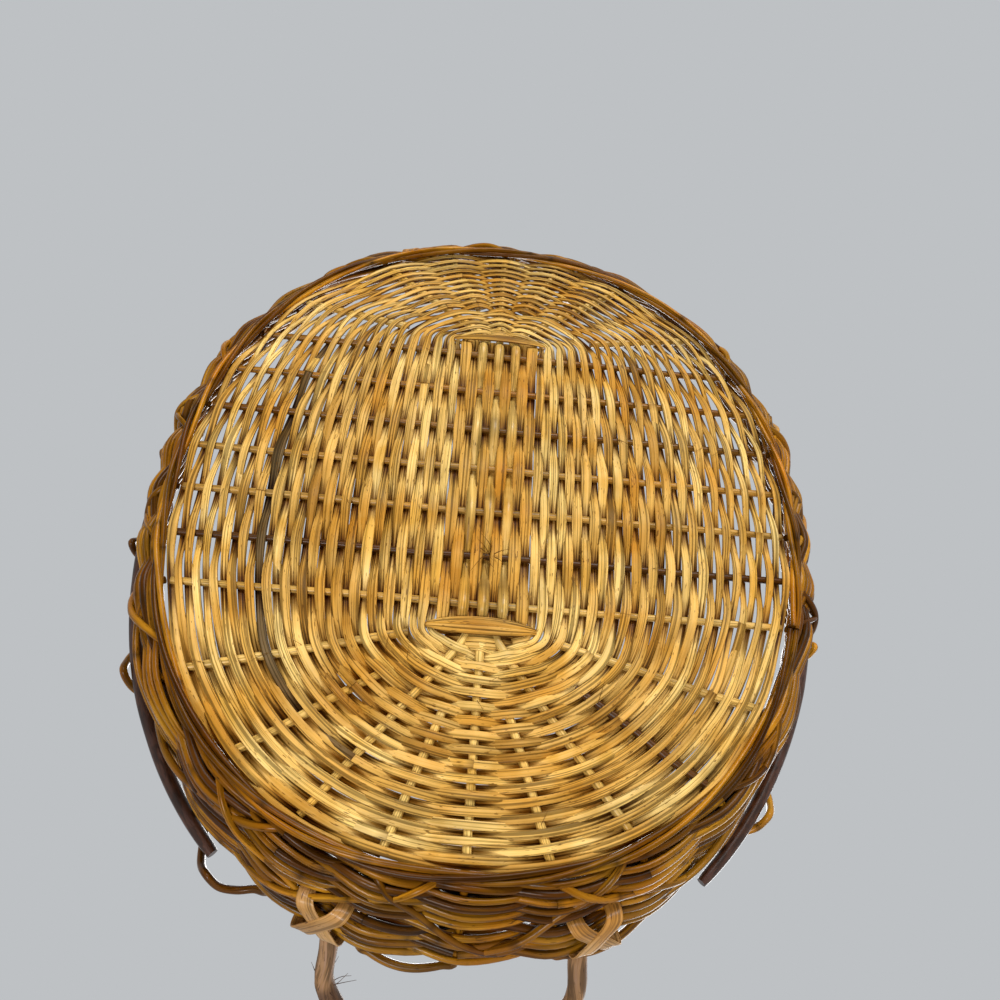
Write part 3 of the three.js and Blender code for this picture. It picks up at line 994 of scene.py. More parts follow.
@dataclass
class Straps(BasePart):
    """The flat straps round the lengthwise sticks, and the short arches beside them."""

    overhang: float = 4.5 * MM
    steps: int = 75
    wrap: float = 1.06
    point: float = 0.985
    taper: float = 0.72
    taper_power: float = 2.4
    loosest: float = 0.5 * MM
    end_height: float = 0.8
    middle_height: float = 0.35
    corner_power: float = 0.5
    strip_share: float = 0.28
    strip_tones: Range = (0.5, 0.76)
    strip_mark: float = 0.1
    arch_steps: int = 25
    arch_spreads: tuple[float, float] = (1.8, 1.5)
    arch_half_width: float = 1.9 * MM
    arch_taper: float = 0.3
    arch_height: float = 0.9
    arch_start: float = 1.4 * MM
    arch_pitch: float = 3 * MM
    arch_bow: float = 1.2 * MM
    arch_bow_step: float = 1 * MM
    arch_tone: float = 0.35
    arch_mark: float = 0.05

    def strap(self, end: End, finish: bpy.types.Material) -> None:
        """Lays the flat strap round the lengthwise sticks at one end, and the short arches beside it.

        Args:
            end: the end it is at.
            finish: its material.
        """
        plan, turns = self.plan, self.plan.strap_turns(end)
        rise = self.lift + self.strand_depth
        half_length = plan.centre_half_width + self.overhang
        mesh = CaneMesh(f"fine_{end.name.lower()}_strap")
        round_it = np.linspace(-self.wrap, self.wrap, self.steps) * math.pi
        across = np.arcsin(self.point * np.sin(round_it)) / math.asin(self.point)
        leaf = 1 - self.taper * np.abs(across) ** self.taper_power
        out = np.stack([0 * across, np.sin(round_it), -np.cos(round_it)], -1)
        half_width, half_depth = self.strip_share * plan.strap_width * leaf, self.strand_depth / 2 * leaf
        strips = 2 * turns
        for number in range(strips):
            beside = ((number + 0.5) / strips - 0.5) * leaf + 0.5
            x = plan.fan_centre(end) + end.value * plan.strap_width * turns * beside
            high = rise + self.rng.uniform(0, self.loosest)
            high = high * (self.end_height + self.middle_height * leaf)
            high = -high * signed_power(np.cos(round_it), self.corner_power)
            path = np.stack([x, half_length * across, self.level + high], -1)
            tone = self.rng.uniform(*self.strip_tones)
            # The height sets painted shade on one face of each strip: the inner one along its middle, the
            # outer one towards its narrow ends.
            self.flat(mesh, path, out, half_width, half_depth, tone, 2 * leaf - 1, self.strip_mark)
        self.arches(mesh, end)
        mesh.dress(finish, "flat_core", f"{end.name.lower()}_strap")

    def arches(self, mesh: CaneMesh, end: End) -> None:
        """Adds the short strands that arch over the middle stick between a strap and the first course.

        Args:
            mesh: the strap's mesh.
            end: the end they are at.
        """
        first = self.plan.fan_centre(end) + end.value * self.plan.strap_turns(end) * self.plan.strap_width
        reach = 2 * self.plan.column_pitch
        share = np.linspace(-1, 1, self.arch_steps)
        height = -np.cos(math.pi * share)
        half_width = self.arch_half_width * (1 - self.arch_taper * share**2)
        for number, spread in enumerate(self.arch_spreads):
            middle = first + end.value * (self.arch_start + self.arch_pitch * number)
            x = middle - end.value * (self.arch_bow + self.arch_bow_step * number) * share**2
            z = self.level + self.lift * height * self.arch_height
            path = np.stack([x, spread * reach * share, z], -1)
            depth = self.strand_depth / 2
            # The height sets painted shade on the face of each arch turned towards what it crosses.
            self.flat(mesh, path, SKYWARD, half_width, depth, self.arch_tone, height, self.arch_mark)


@dataclass
class FlatStrands(BasePart):
    """The flat strands of the middle bundle, and the two that chase each other round the base."""

    strand_width: float = 6.4 * MM
    strand_stray: float = 0.22 * MM
    centre_steps: int = 8
    centre_fill: float = 0.56
    centre_swell: float = 0.1
    centre_tones: Range = (0.55, 0.75)
    per_span: int = 6
    tail: float = 0.6
    last_gap: float = 0.1
    squeeze: float = 0.16
    fan_start: float = 90 * MM
    fan_edge: float = 80 * MM
    # Painted hollow shade: how much of each strand stays lit, more in the near fan and less in the far
    # fan.
    fan_unshaded_shifts: tuple[float, float] = (0.2, -0.08)
    plain_unshaded: float = 0.5
    fill: float = 1.24
    fan_fill: float = 0.1
    fill_stray: float = 0.05
    outer_starts: tuple[float, float] = (0.55, 0.3)
    outer_losses: tuple[float, float] = (0.28, 0.12)
    outer_length: float = 0.3
    splice_spans: tuple[int, int] = (15, 42)
    splice_tone: float = 0.34
    splice_tone_spread: float = 0.26
    deepest_tone: float = 0.76
    dark_length: tuple[int, int] = (316, 324)
    dark_tone: float = 0.95
    tuck_length: float = 9 * MM
    tuck_share: float = 0.45
    cut_mark: float = 0.5
    cut_reach: float = 0.8 * MM
    depth_drift: Drift = (30 * MM, 0.06)
    tip_drift: Drift = (40 * MM, 0.16)

    def centre_strand(
        self,
        kind: str,
        columns: tuple[int, ...],
        side: Side,
        finish: bpy.types.Material,
    ) -> None:
        """Makes a flat strand that runs lengthwise and turns back for each further column.

        Args:
            kind: the piece's name without its side.
            columns: its columns, counted out from the middle.
            side: the side of the middle it lies on.
            finish: its material.
        """
        plan = self.plan
        turn = plan.strap_setback + plan.strap_width / 2
        first, last = plan.stick_place(0) - turn, plan.stick_place(plan.stick_count - 1) + turn
        rows = []
        for run, column in enumerate(columns):
            y = side.value * column * plan.column_pitch
            run_rows = [[first, y, 0.0]]
            for i in range(plan.stick_count):
                sign = -1 if (i + column) % 2 == 0 else 1
                run_rows.append([plan.stick_place(i), y, sign * self.lift])
            run_rows.append([last, y, 0.0])
            rows += run_rows if run % 2 == 0 else run_rows[::-1]
        line = smooth(np.array(rows), self.centre_steps)
        height = np.clip(line[:, 2] / self.lift, -1, 1)
        line[:, 2] += self.level
        mesh = CaneMesh(f"fine_{kind}_{side.name.lower()}")
        half_width = plan.column_pitch * (self.centre_fill + self.centre_swell * np.abs(height))
        tone = self.rng.uniform(*self.centre_tones)
        self.flat(mesh, line, SKYWARD, half_width, self.strand_depth / 2, tone, height)
        mesh.dress(finish, "flat_core", f"{kind}_{side.name.lower()}")

    def crossing_signs(self, share: float) -> list[int]:
        """Says over or under at each station for a course.

        Args:
            share: how far out the course lies.

        Returns:
            1 or -1 in turn, and 0 where the spoke starts further out.
        """
        signs, sign = [], -1
        for station in self.plan.stations:
            if share >= station.start:
                sign = -sign
            signs.append(sign if share >= station.start else 0)
        return signs

    def weaver(self, name: str, lead: int, sense: int, finish: bpy.types.Material) -> None:
        """Weaves one of the two strands that chase each other round the base, spliced from many lengths.

        Args:
            name: a or b.
            lead: the course it starts on.
            sense: 1 where it starts over, -1 where it starts under.
            finish: its material.
        """
        plan = self.plan
        around = len(plan.stations)
        rows = []
        for m in range(-around, plan.course_count * around):
            course = lead + plan.courses_gained(m)
            if not -self.tail <= course <= plan.course_count - self.last_gap:
                continue
            share = max(course + 0.5, 0.0) / plan.course_count
            sign = self.crossing_signs(share)[m % around] * sense
            width = min(self.strand_width, plan.clear_pitch(m, share) * self.fullness(m % around, share))
            point = plan.station(m).at(share) + self.rng.normal(0, self.strand_stray, 2)
            rows.append([*point, self.level + sign * self.lift, width / 2])
        line = smooth(np.array(rows), self.per_span)
        level_share = 1 - np.clip(np.abs(line[:, 2] - self.level) / self.lift, 0, 1)
        in_field = 1 - self.in_fan(line, End.NEAR) - self.in_fan(line, End.FAR)
        line[:, 3] *= 1 - self.squeeze * level_share * in_field
        mesh = CaneMesh(f"fine_base_weaver_{name}")
        dark = self.dark_length if lead == 0 else (0, 0)
        spans = self.rng.integers(*self.splice_spans, len(rows) // self.splice_spans[0])
        cuts = [0, *dark, len(rows) - 1, *np.cumsum(spans).tolist()]
        cuts = sorted({c for c in cuts if c < len(rows) and not dark[0] < c < dark[1]})
        for first, last in zip(cuts, cuts[1:]):
            stop = min(last + 1, len(rows) - 1) * self.per_span + 1
            self.splice(mesh, line[first * self.per_span : stop], (first, last) == dark)
        mesh.dress(finish, "flat_core", f"base_weaver_{name}")

    def in_fan(self, path: np.ndarray, end: End) -> np.ndarray:
        """How far each point of a path lies within an end's fan, from 0 to 1."""
        return self.soft_edge(end.value * (path[:, 0] - self.plan.field_offset) / self.fan_start - 1)

    def fullness(self, j: int, share: float) -> float:
        """How much of its room a strand fills.

        Args:
            j: the station's number.
            share: how far out the course lies.

        Returns:
            More than all of it in the middle, less near the edge.
        """
        is_fan = bool(abs(self.plan.station(j).outer[0] - self.plan.field_offset) > self.fan_edge)
        outer = (share - self.outer_starts[is_fan]) / self.outer_length
        loss = self.outer_losses[is_fan] * min(max(outer, 0.0), 1.0)
        return self.fill + self.fan_fill * is_fan - loss + self.rng.normal(0, self.fill_stray)

    def splice(self, mesh: CaneMesh, rows: np.ndarray, is_dark: bool) -> None:
        """Adds one length of strand, with its cut ends tucked under and over its neighbours.

        Args:
            mesh: the mesh to add to.
            rows: its points, each with its half width.
            is_dark: whether it is the one weathered length.
        """
        path = rows[:, :3].copy()
        along = lengths_along(path)
        over = np.sign(path[:, 2] - self.level)
        tuck = self.strand_depth * self.tuck_share
        path[:, 2] += over * tuck * np.exp(-(along[-1] - along) / self.tuck_length)
        path[:, 2] -= over * tuck * np.exp(-along / self.tuck_length)
        height = np.clip((rows[:, 2] - self.level) / self.lift, -1, 1)
        mark = self.cut_mark * cut_ends(along, self.cut_reach)
        tone = self.dark_tone
        if not is_dark:
            tone = self.rng.normal(self.splice_tone, self.splice_tone_spread)
            tone = float(np.clip(tone, 0, self.deepest_tone))
        depth = self.strand_depth / 2 * (1 + wander(self.rng, along, self.depth_drift))
        tip = [wander(self.rng, along, self.tip_drift) for _ in range(2)]
        out = np.stack([*tip, np.ones(len(along))], -1)
        # Painted hollow shade, lighter in the near fan and darker in the far fan.
        unshaded = np.full(len(along), self.plain_unshaded)
        for end, change in zip(End, self.fan_unshaded_shifts):
            unshaded += change * self.in_fan(path, end)
        self.flat(mesh, path, out, rows[:, 3], depth, tone, height, mark, unshaded)


@dataclass
class StrayFibres(BasePart):
    """Fine fibres that stand off the strands, and the tuft of rootlets in the middle."""

    fibre_count: int = 70
    fibre_shares: Range = (0.15, 0.95)
    fibre_lengths: Range = (5 * MM, 12 * MM)
    fibre_radius: float = 0.16 * MM
    fibre_mark: float = 0.35
    under_share: float = 0.7
    rootlet_count: int = 12
    rootlet_spread: float = 3 * MM
    rootlet_lift: float = 1.6
    rootlet_radius: float = 0.3 * MM
    rootlet_mark: float = 0.75
    bend_share: float = 0.4
    bend_height: float = 1.6 * MM
    tip_heights: Range = (0.6 * MM, 1.4 * MM)
    tip_radius: float = 0.06 * MM
    steps: int = 5
    tone: float = 0.8

    def build(self, finish: bpy.types.Material) -> None:
        """Grows and dresses all of them as one piece.

        Args:
            finish: their material.
        """
        mesh = CaneMesh("stray_fibres")
        for number in range(self.fibre_count + self.rootlet_count):
            is_rootlet = number >= self.fibre_count
            j = int(self.rng.integers(0, len(self.plan.stations)))
            foot = self.plan.station(j).at(self.rng.uniform(*self.fibre_shares))
            if is_rootlet:
                foot = np.array([self.plan.stick_place(1), 0.0])
                foot += self.rng.normal(0, self.rootlet_spread, 2)
            way = self.rng.normal(0, 1, 2)
            way = way / np.linalg.norm(way) * self.rng.uniform(*self.fibre_lengths)
            face = -1 if is_rootlet or self.rng.random() < self.under_share else 1
            low = face * self.lift * (self.rootlet_lift if is_rootlet else 1.0)
            bend = self.place(foot + way * self.bend_share, low + face * self.bend_height)
            tip = self.place(foot + way, low + face * self.rng.uniform(*self.tip_heights))
            path = smooth(np.array([self.place(foot, low), bend, tip]), self.steps)
            radius = self.rootlet_radius if is_rootlet else self.fibre_radius
            size = np.linspace(radius, self.tip_radius, len(path))
            mark = self.rootlet_mark if is_rootlet else self.fibre_mark
            mesh.sweep(self.rng, path, SKYWARD, size, size, self.tone, mark=mark)
        mesh.dress(finish, "flat_core")


@dataclass
class WovenBase:
    """The flat base: sticks, spokes, straps and the flat strands woven through them."""

    plan: BasePlan
    level: float
    centre_columns: tuple[int, ...] = (1,)
    bundle_columns: tuple[int, ...] = (3, 4)
    rng: np.random.Generator = field(default_factory=lambda: np.random.default_rng(11))

    def build(self, strand: bpy.types.Material, stick: bpy.types.Material) -> None:
        """Builds and dresses every piece of the base.

        Args:
            strand: the finish of the flat strands.
            stick: the finish of the round sticks.
        """
        shared = (self.plan, self.level, self.rng)
        sticks, straps, strands = RoundSticks(*shared), Straps(*shared), FlatStrands(*shared)
        for i in range(self.plan.stick_count):
            sticks.cross_stick(i, stick)
        for column, name in enumerate(("left", "middle", "right"), start=-1):
            sticks.long_stick(name, column, stick)
        for end in End:
            sticks.spokes(end, stick)
            straps.strap(end, strand)
        for side in Side:
            strands.centre_strand("centre_strand", self.centre_columns, side, strand)
            strands.centre_strand("bundle_strand", self.bundle_columns, side, strand)
        for lead, (name, sense) in enumerate((("a", 1), ("b", -1))):
            strands.weaver(name, lead, sense, strand)
        StrayFibres(*shared).build(strand)


@dataclass
class WallForm:
    """The middle surface of the wall: level at the edge, bent up, then straight at its lean."""

    plan: BasePlan
    level: float
    bend_radius: float = 14 * MM
    side_lean: float = math.radians(12)
    end_lean: float = math.radians(36)
    lean_sharpness: int = 4

    def bend_length(self, normal: np.ndarray) -> float:
        """Length of the bend along a stake, shortest at the ends, where the wall leans out most."""
        lean = self.side_lean + (self.end_lean - self.side_lean) * normal[0] ** self.lean_sharpness
        return self.bend_radius * (math.pi / 2 - lean)

    def point(self, place: float, rise: float, outset: float) -> np.ndarray:
        """A point on or beside the wall.

        Args:
            place: station number, whole or between two.
            rise: distance up along the stakes from the edge.
            outset: distance out from the middle surface, or in where negative.

        Returns:
            The point in space.
        """
        edge = self.plan.oval.point(self.plan.angle_at(place))
        normal = self.plan.oval.normal(edge)
        bend = self.bend_length(normal)
        turn = min(rise, bend) / self.bend_radius
        straight = max(rise - bend, 0.0)
        flare = self.bend_radius * math.sin(turn) + straight * math.cos(turn) + outset * math.sin(turn)
        bent = self.bend_radius * (1 - math.cos(turn))
        height = bent + straight * math.sin(turn) - outset * math.cos(turn)
        spot = edge + normal * flare
        return np.array([spot[0], spot[1], self.level + height])

    def outward(self, place: float, rise: float) -> np.ndarray:
        """The direction out of the wall."""
        return (self.point(place, rise, MM) - self.point(place, rise, 0.0)) / MM


@dataclass
class SkinRods:
    """How single skin-on rods grow: their tones, blotches, knots and dark cut ends."""

    rng: np.random.Generator
    odd_share: float = 0.18
    odd_tone: float = 0.93
    usual_tone: float = 0.35
    tone_spread: float = 0.24
    deepest_tone: float = 0.75
    usual_size: float = 0.97
    drift: Drift = (25 * MM, 0.03)
    blotches: Drift = (14 * MM, 0.2)
    blotch_floor: float = 0.1
    deepest_blotch: float = 0.7
    first_knot: Range = (30 * MM, 90 * MM)
    knot_spacing: Range = (70 * MM, 150 * MM)
    knot_half: float = 2.2 * MM
    knot_swelling: float = 0.1
    knot_mark: float = 0.75
    cut_mark: float = 0.6
    cut_reach: float = 1.2 * MM

    def add(
        self,
        mesh: CaneMesh,
        path: np.ndarray,
        out: np.ndarray,
        radius: float,
        unshaded: float = 1.0,
        height: np.ndarray | float = 0.0,
    ) -> None:
        """Adds one rod to a mesh.

        Args:
            mesh: the mesh to add to.
            path: its middle line.
            out: the way its outer side looks.
            radius: its usual radius.
            unshaded: how free its skin is of painted hollow shade.
            height: 1 where it passes outside a stake, -1 where it passes inside.
        """
        tone = self.odd_tone
        if self.rng.random() >= self.odd_share:
            tone = float(np.clip(self.rng.normal(self.usual_tone, self.tone_spread), 0, self.deepest_tone))
        along = lengths_along(path)
        size = radius * (self.usual_size + wander(self.rng, along, self.drift))
        mark = wander(self.rng, along, self.blotches) - self.blotch_floor
        mark = np.clip(mark, 0, self.deepest_blotch)
        knot = self.rng.uniform(*self.first_knot)
        while knot < along[-1]:
            swelling = np.exp(-(((along - knot) / self.knot_half) ** 2))
            size += radius * self.knot_swelling * swelling
            mark = np.maximum(mark, self.knot_mark * swelling)
            knot += self.rng.uniform(*self.knot_spacing)
        mark = np.maximum(mark, self.cut_mark * cut_ends(along, self.cut_reach))
        mesh.sweep(self.rng, path, out, size, size, tone, unshaded, height, mark)


@dataclass
class Wall:
    """Stakes with looped tops, and the round rods woven round them.

    Sizes are in metres. Starts, spans and reaches round the tray are counted in stations.
    """

    form: WallForm
    stake_radius: float = 2 * MM
    rod_radius: float = 2.4 * MM
    twin_radius: float = 1.95 * MM
    twin_twist: float = 1.45 * MM
    twin_hug: float = 0.8
    twin_gap: float = 0.7 * MM
    twin_stray: float = 0.6 * MM
    twin_sizes: Range = (0.82, 1.14)
    # Painted shade: how much of the paired rods stays lit.
    twin_unshaded: float = 0.5
    twin_steps: int = 5
    cut_margin: int = 5
    foot_radius: float = 2.8 * MM
    foot_tuck: float = 1.2 * MM
    foot_lift: float = 0.8 * MM
    foot_strands: int = 3
    foot_fill: float = 1.12
    foot_twist: float = 4.0
    foot_points: int = 4
    foot_steps: int = 3
    foot_cut_margin: int = 60
    # Painted shade: how much of the foot rod stays lit.
    foot_unshaded: float = 0.75
    rod_pitch: float = 5.45 * MM
    row_count: int = 7
    rows_under_lashing: int = 3
    lashing_gap: float = 2.9 * MM
    touch: float = 0.35 * MM
    edge_pairs: tuple[float, float] = (-3.6 * MM, 0.6 * MM)
    edge_start: int = 3
    row_start: int = 5
    row_start_step: int = 4
    end_gap: float = 0.03
    lean_points: int = 11
    lean_steps: int = 4
    lean_start_rows: int = 2
    lean_stray: float = 0.3
    lean_spans: Range = (1.3, 2.5)
    lean_round: float = 0.5
    lean_share: float = 0.7
    lean_wave: float = 0.3
    lean_wave_turn: float = 9.0
    lean_sizes: Range = (0.75, 1.0)
    # Painted shade: how much of the leaning rods stays lit.
    lean_unshaded: float = 0.8
    loop_steps: int = 8
    stake_steps: int = 6
    stake_size: float = 0.97
    bare_loop_room: float = 1 * MM
    bare_loop_radius: float = 3.2 * MM
    rail_radius: float = 4.4 * MM
    rail_near_reach: float = 2.4
    rail_far_reach: float = 1.5
    rng: np.random.Generator = field(default_factory=lambda: np.random.default_rng(23))
    rods: SkinRods = field(init=False)

    def __post_init__(self) -> None:
        """Lets the single rods draw on the wall's own source of chance."""
        self.rods = SkinRods(self.rng)

    @property
    def rod_offset(self) -> float:
        """How far a rod's middle lies from the stakes it passes."""
        return self.stake_radius + self.rod_radius + self.touch

    @property
    def foot_rise(self) -> float:
        """Where the foot rod lies along the stakes."""
        return self.foot_radius + self.touch

    @property
    def top_rise(self) -> float:
        """Where the topmost row lies along the stakes."""
        return self.row_rise(self.row_count - 1)

    @property
    def rail_rise(self) -> float:
        """Where the rails lie along the stakes."""
        return self.top_rise + self.rod_radius + self.rail_radius + self.touch

    @property
    def rail_outset(self) -> float:
        """How far a rail's middle lies outside the stakes."""
        return self.stake_radius + self.rail_radius + self.touch

    @property
    def bare_loop_rise(self) -> float:
        """Where the loops without a rail lie along the stakes."""
        return self.top_rise + self.rod_radius + self.stake_radius + self.bare_loop_room + 2 * self.touch

    def row_rise(self, row: int) -> float:
        """Says where a row of rods lies along the stakes.

        Args:
            row: its number from the lowest one at 0.

        Returns:
            The distance up from the edge.
        """
        gap = 0.0 if row < self.rows_under_lashing else self.lashing_gap
        first = self.form.bend_radius * (math.pi / 2 - self.form.end_lean)
        return first + row * self.rod_pitch + gap

    def build(self, finish: bpy.types.Material) -> None:
        """Builds and dresses the foot rod, the woven rods, the stakes and the leaning rods.

        Args:
            finish: the skin-on rod finish.
        """
        self.foot(finish)
        edge_rise = self.foot_rise + self.rod_radius + self.foot_radius + self.touch
        self.ring("edge_rod", [edge_rise + shift for shift in self.edge_pairs], 1, self.edge_start, finish)
        for row in range(self.row_count):
            sense = -1 if row % 2 == 0 else 1
            start = self.row_start + self.row_start_step * row
            self.ring(f"wall_rod_{row + 1}", [self.row_rise(row)], sense, start, finish)
        for number in range(len(self.form.plan.stations) // 2):
            self.stake(number, finish)
        self.leaning_rods(finish)

    def leaning_rods(self, finish: bpy.types.Material) -> None:
        """Lays slim rods that lean across the rows, from the edge up to the top row.

        Args:
            finish: their material.
        """
        mesh = CaneMesh("leaning_rods")
        low, high = self.row_rise(0) - self.lean_start_rows * self.rod_pitch, self.top_rise
        outside = self.stake_radius + 2 * self.twin_radius
        for number in range(len(self.form.plan.stations)):
            start = number + self.rng.uniform(-self.lean_stray, self.lean_stray)
            span = (-1) ** number * self.rng.uniform(*self.lean_spans)
            dip = self.rng.uniform(0, 2 * math.pi)
            rows = []
            for share in np.linspace(0, 1, self.lean_points):
                place, rise = start + span * share, low + (high - low) * share
                wave = self.lean_share + self.lean_wave * math.cos(self.lean_wave_turn * share + dip)
                outset = outside * math.sin(math.pi * share) ** self.lean_round * wave
                rows.append([*self.form.point(place, rise, outset), *self.form.outward(place, rise)])
            line = smooth(np.array(rows), self.lean_steps)
            radius = self.rng.uniform(*self.lean_sizes) * self.twin_radius
            self.rods.add(mesh, line[:, :3], line[:, 3:], radius, self.lean_unshaded)
        mesh.dress(finish, "skin_rod")

    def ring(
        self,
        name: str,
        rises: list[float],
        sense: int,
        start: int,
        finish: bpy.types.Material,
    ) -> None:
        """Weaves one row: pairs of slim rods that twist past each other between the stakes.

        Args:
            name: the solid it stands for.
            rises: where each pair lies along the stakes.
            sense: 1 where the first rod passes outside the even stakes.
            start: the station where its ends meet.
            finish: its material.
        """
        around = len(self.form.plan.stations)
        reach = self.twin_hug * (self.stake_radius + self.twin_radius)
        mesh = CaneMesh(f"fine_{name}")
        for rise, twin in ((rise, way * sense) for rise in rises for way in (1, -1)):
            rows = []
            for m in range(2 * around + 1):
                place = start + m / 2 - (self.end_gap if m == 2 * around else 0.0)
                way = twin if (start + m // 2) % 2 == 0 else -twin
                lift = rise + self.rng.normal(0, self.twin_stray) + way * (m % 2) * self.twin_twist
                outset = way * (self.twin_gap if m % 2 else reach)
                spot = self.form.point(place, lift, outset)
                # The last column is the height that puts painted shade on the side of each rod facing the
                # stake it passes.
                rows.append([*spot, *self.form.outward(place, rise), outset / reach])
            line = smooth(np.array(rows), self.twin_steps)
            cut_stations = np.arange(self.cut_margin, around - self.cut_margin + 1)
            cuts = sorted(self.rng.choice(cut_stations, 2, replace=False) * 2 * self.twin_steps)
            for first, last in zip([0, *cuts], [*cuts, len(line) - 1]):
                part = line[first : last + 1]
                radius = self.twin_radius * self.rng.uniform(*self.twin_sizes)
                self.rods.add(mesh, part[:, :3], part[:, 3:6], radius, self.twin_unshaded, part[:, 6])
        mesh.dress(finish, "skin_rod", name)

    def foot(self, finish: bpy.types.Material) -> None:
        """Lays the foot under the stakes, as slim rods twisted into one.

        Args:
            finish: its material.
        """
        around = len(self.form.plan.stations)
        outset = self.stake_radius + self.foot_radius + self.touch - self.foot_lift
        slim = self.foot_radius / (1 + 2 / math.sqrt(3)) * self.foot_fill
        twist = self.foot_radius - slim
        count = self.foot_points * around
        mesh = CaneMesh("fine_foot_rod")
        for strand in range(self.foot_strands):
            rows = []
            for m in range(count + 1):
                place = m / self.foot_points - (self.end_gap if m == count else 0.0)
                turn = 2 * math.pi * (place / self.foot_twist + strand / self.foot_strands)
                rise = self.foot_rise - self.foot_tuck + twist * math.cos(turn)
                rows.append(self.form.point(place, rise, outset + twist * math.sin(turn)))
            path = smooth(np.array(rows), self.foot_steps)
            cut = int(self.rng.integers(self.foot_cut_margin, len(path) - self.foot_cut_margin))
            for first, last in ((0, cut), (cut, len(path) - 1)):
                self.rods.add(mesh, path[first : last + 1], SKYWARD, slim, self.foot_unshaded)
        mesh.dress(finish, "skin_rod", "foot_rod")

    def rail_places(self, side: Side) -> tuple[float, float]:
        """Finds the station numbers of a rail's two ends.

        Args:
            side: the side it is on.

        Returns:
            Both numbers, in the order round the tray.
        """
        plan = self.form.plan
        first, last = -self.rail_near_reach, plan.stick_count - 1 + self.rail_far_reach
        if side is Side.RIGHT:
            return first, last
        mirror = plan.near_start - 1
        return mirror - last, mirror - first

    def holds_rail(self, first: int) -> bool:
        """Tells whether a rail passes through the loop from a station to the next.

        Args:
            first: the station where the loop starts.

        Returns:
            True where it holds a rail.
        """
        around = len(self.form.plan.stations)
        for low, high in (self.rail_places(side) for side in Side):
            if any(place + 1 > low and place < high for place in (first, first - around)):
                return True
        return False

    def stake(self, number: int, finish: bpy.types.Material) -> None:
        """Bends one stake up, over in a loop round the rail's line, and down at the next station.

        Args:
            number: the stake's number from 0.
            finish: its material.
        """
        first = 2 * number
        has_rail = self.holds_rail(first)
        hook = math.cos(math.pi / self.loop_steps)
        outset = self.rail_outset if has_rail else self.bare_loop_radius * hook
        rise = self.rail_rise if has_rail else self.bare_loop_rise
        bend = self.row_rise(0)
        leg = (self.touch, bend / 3, 2 * bend / 3, bend, (bend + rise) / 2, rise)
        turns = [(first, leg_rise, 0.0) for leg_rise in leg]
        for i in range(1, self.loop_steps):
            wrap = math.pi * abs(1 - 2 * i / self.loop_steps)
            lift, reach = math.sin(wrap), 1 + math.cos(wrap) / hook
            if not has_rail:
                lift = reach = math.sin(math.pi * i / self.loop_steps)
            turns.append((first + i / self.loop_steps, rise + outset / hook * lift, outset * reach))
        turns += [(first + 1, leg_rise, 0.0) for leg_rise in reversed(leg)]
        rows = [[*self.form.point(*turn), *self.form.outward(turn[0], turn[1])] for turn in turns]
        line = smooth(np.array(rows), self.stake_steps)
        mesh = CaneMesh(f"fine_side_stake_{number + 1}")
        self.rods.add(mesh, line[:, :3], line[:, 3:], self.stake_size * self.stake_radius)
        mesh.dress(finish, "skin_rod", f"side_stake_{number + 1}")


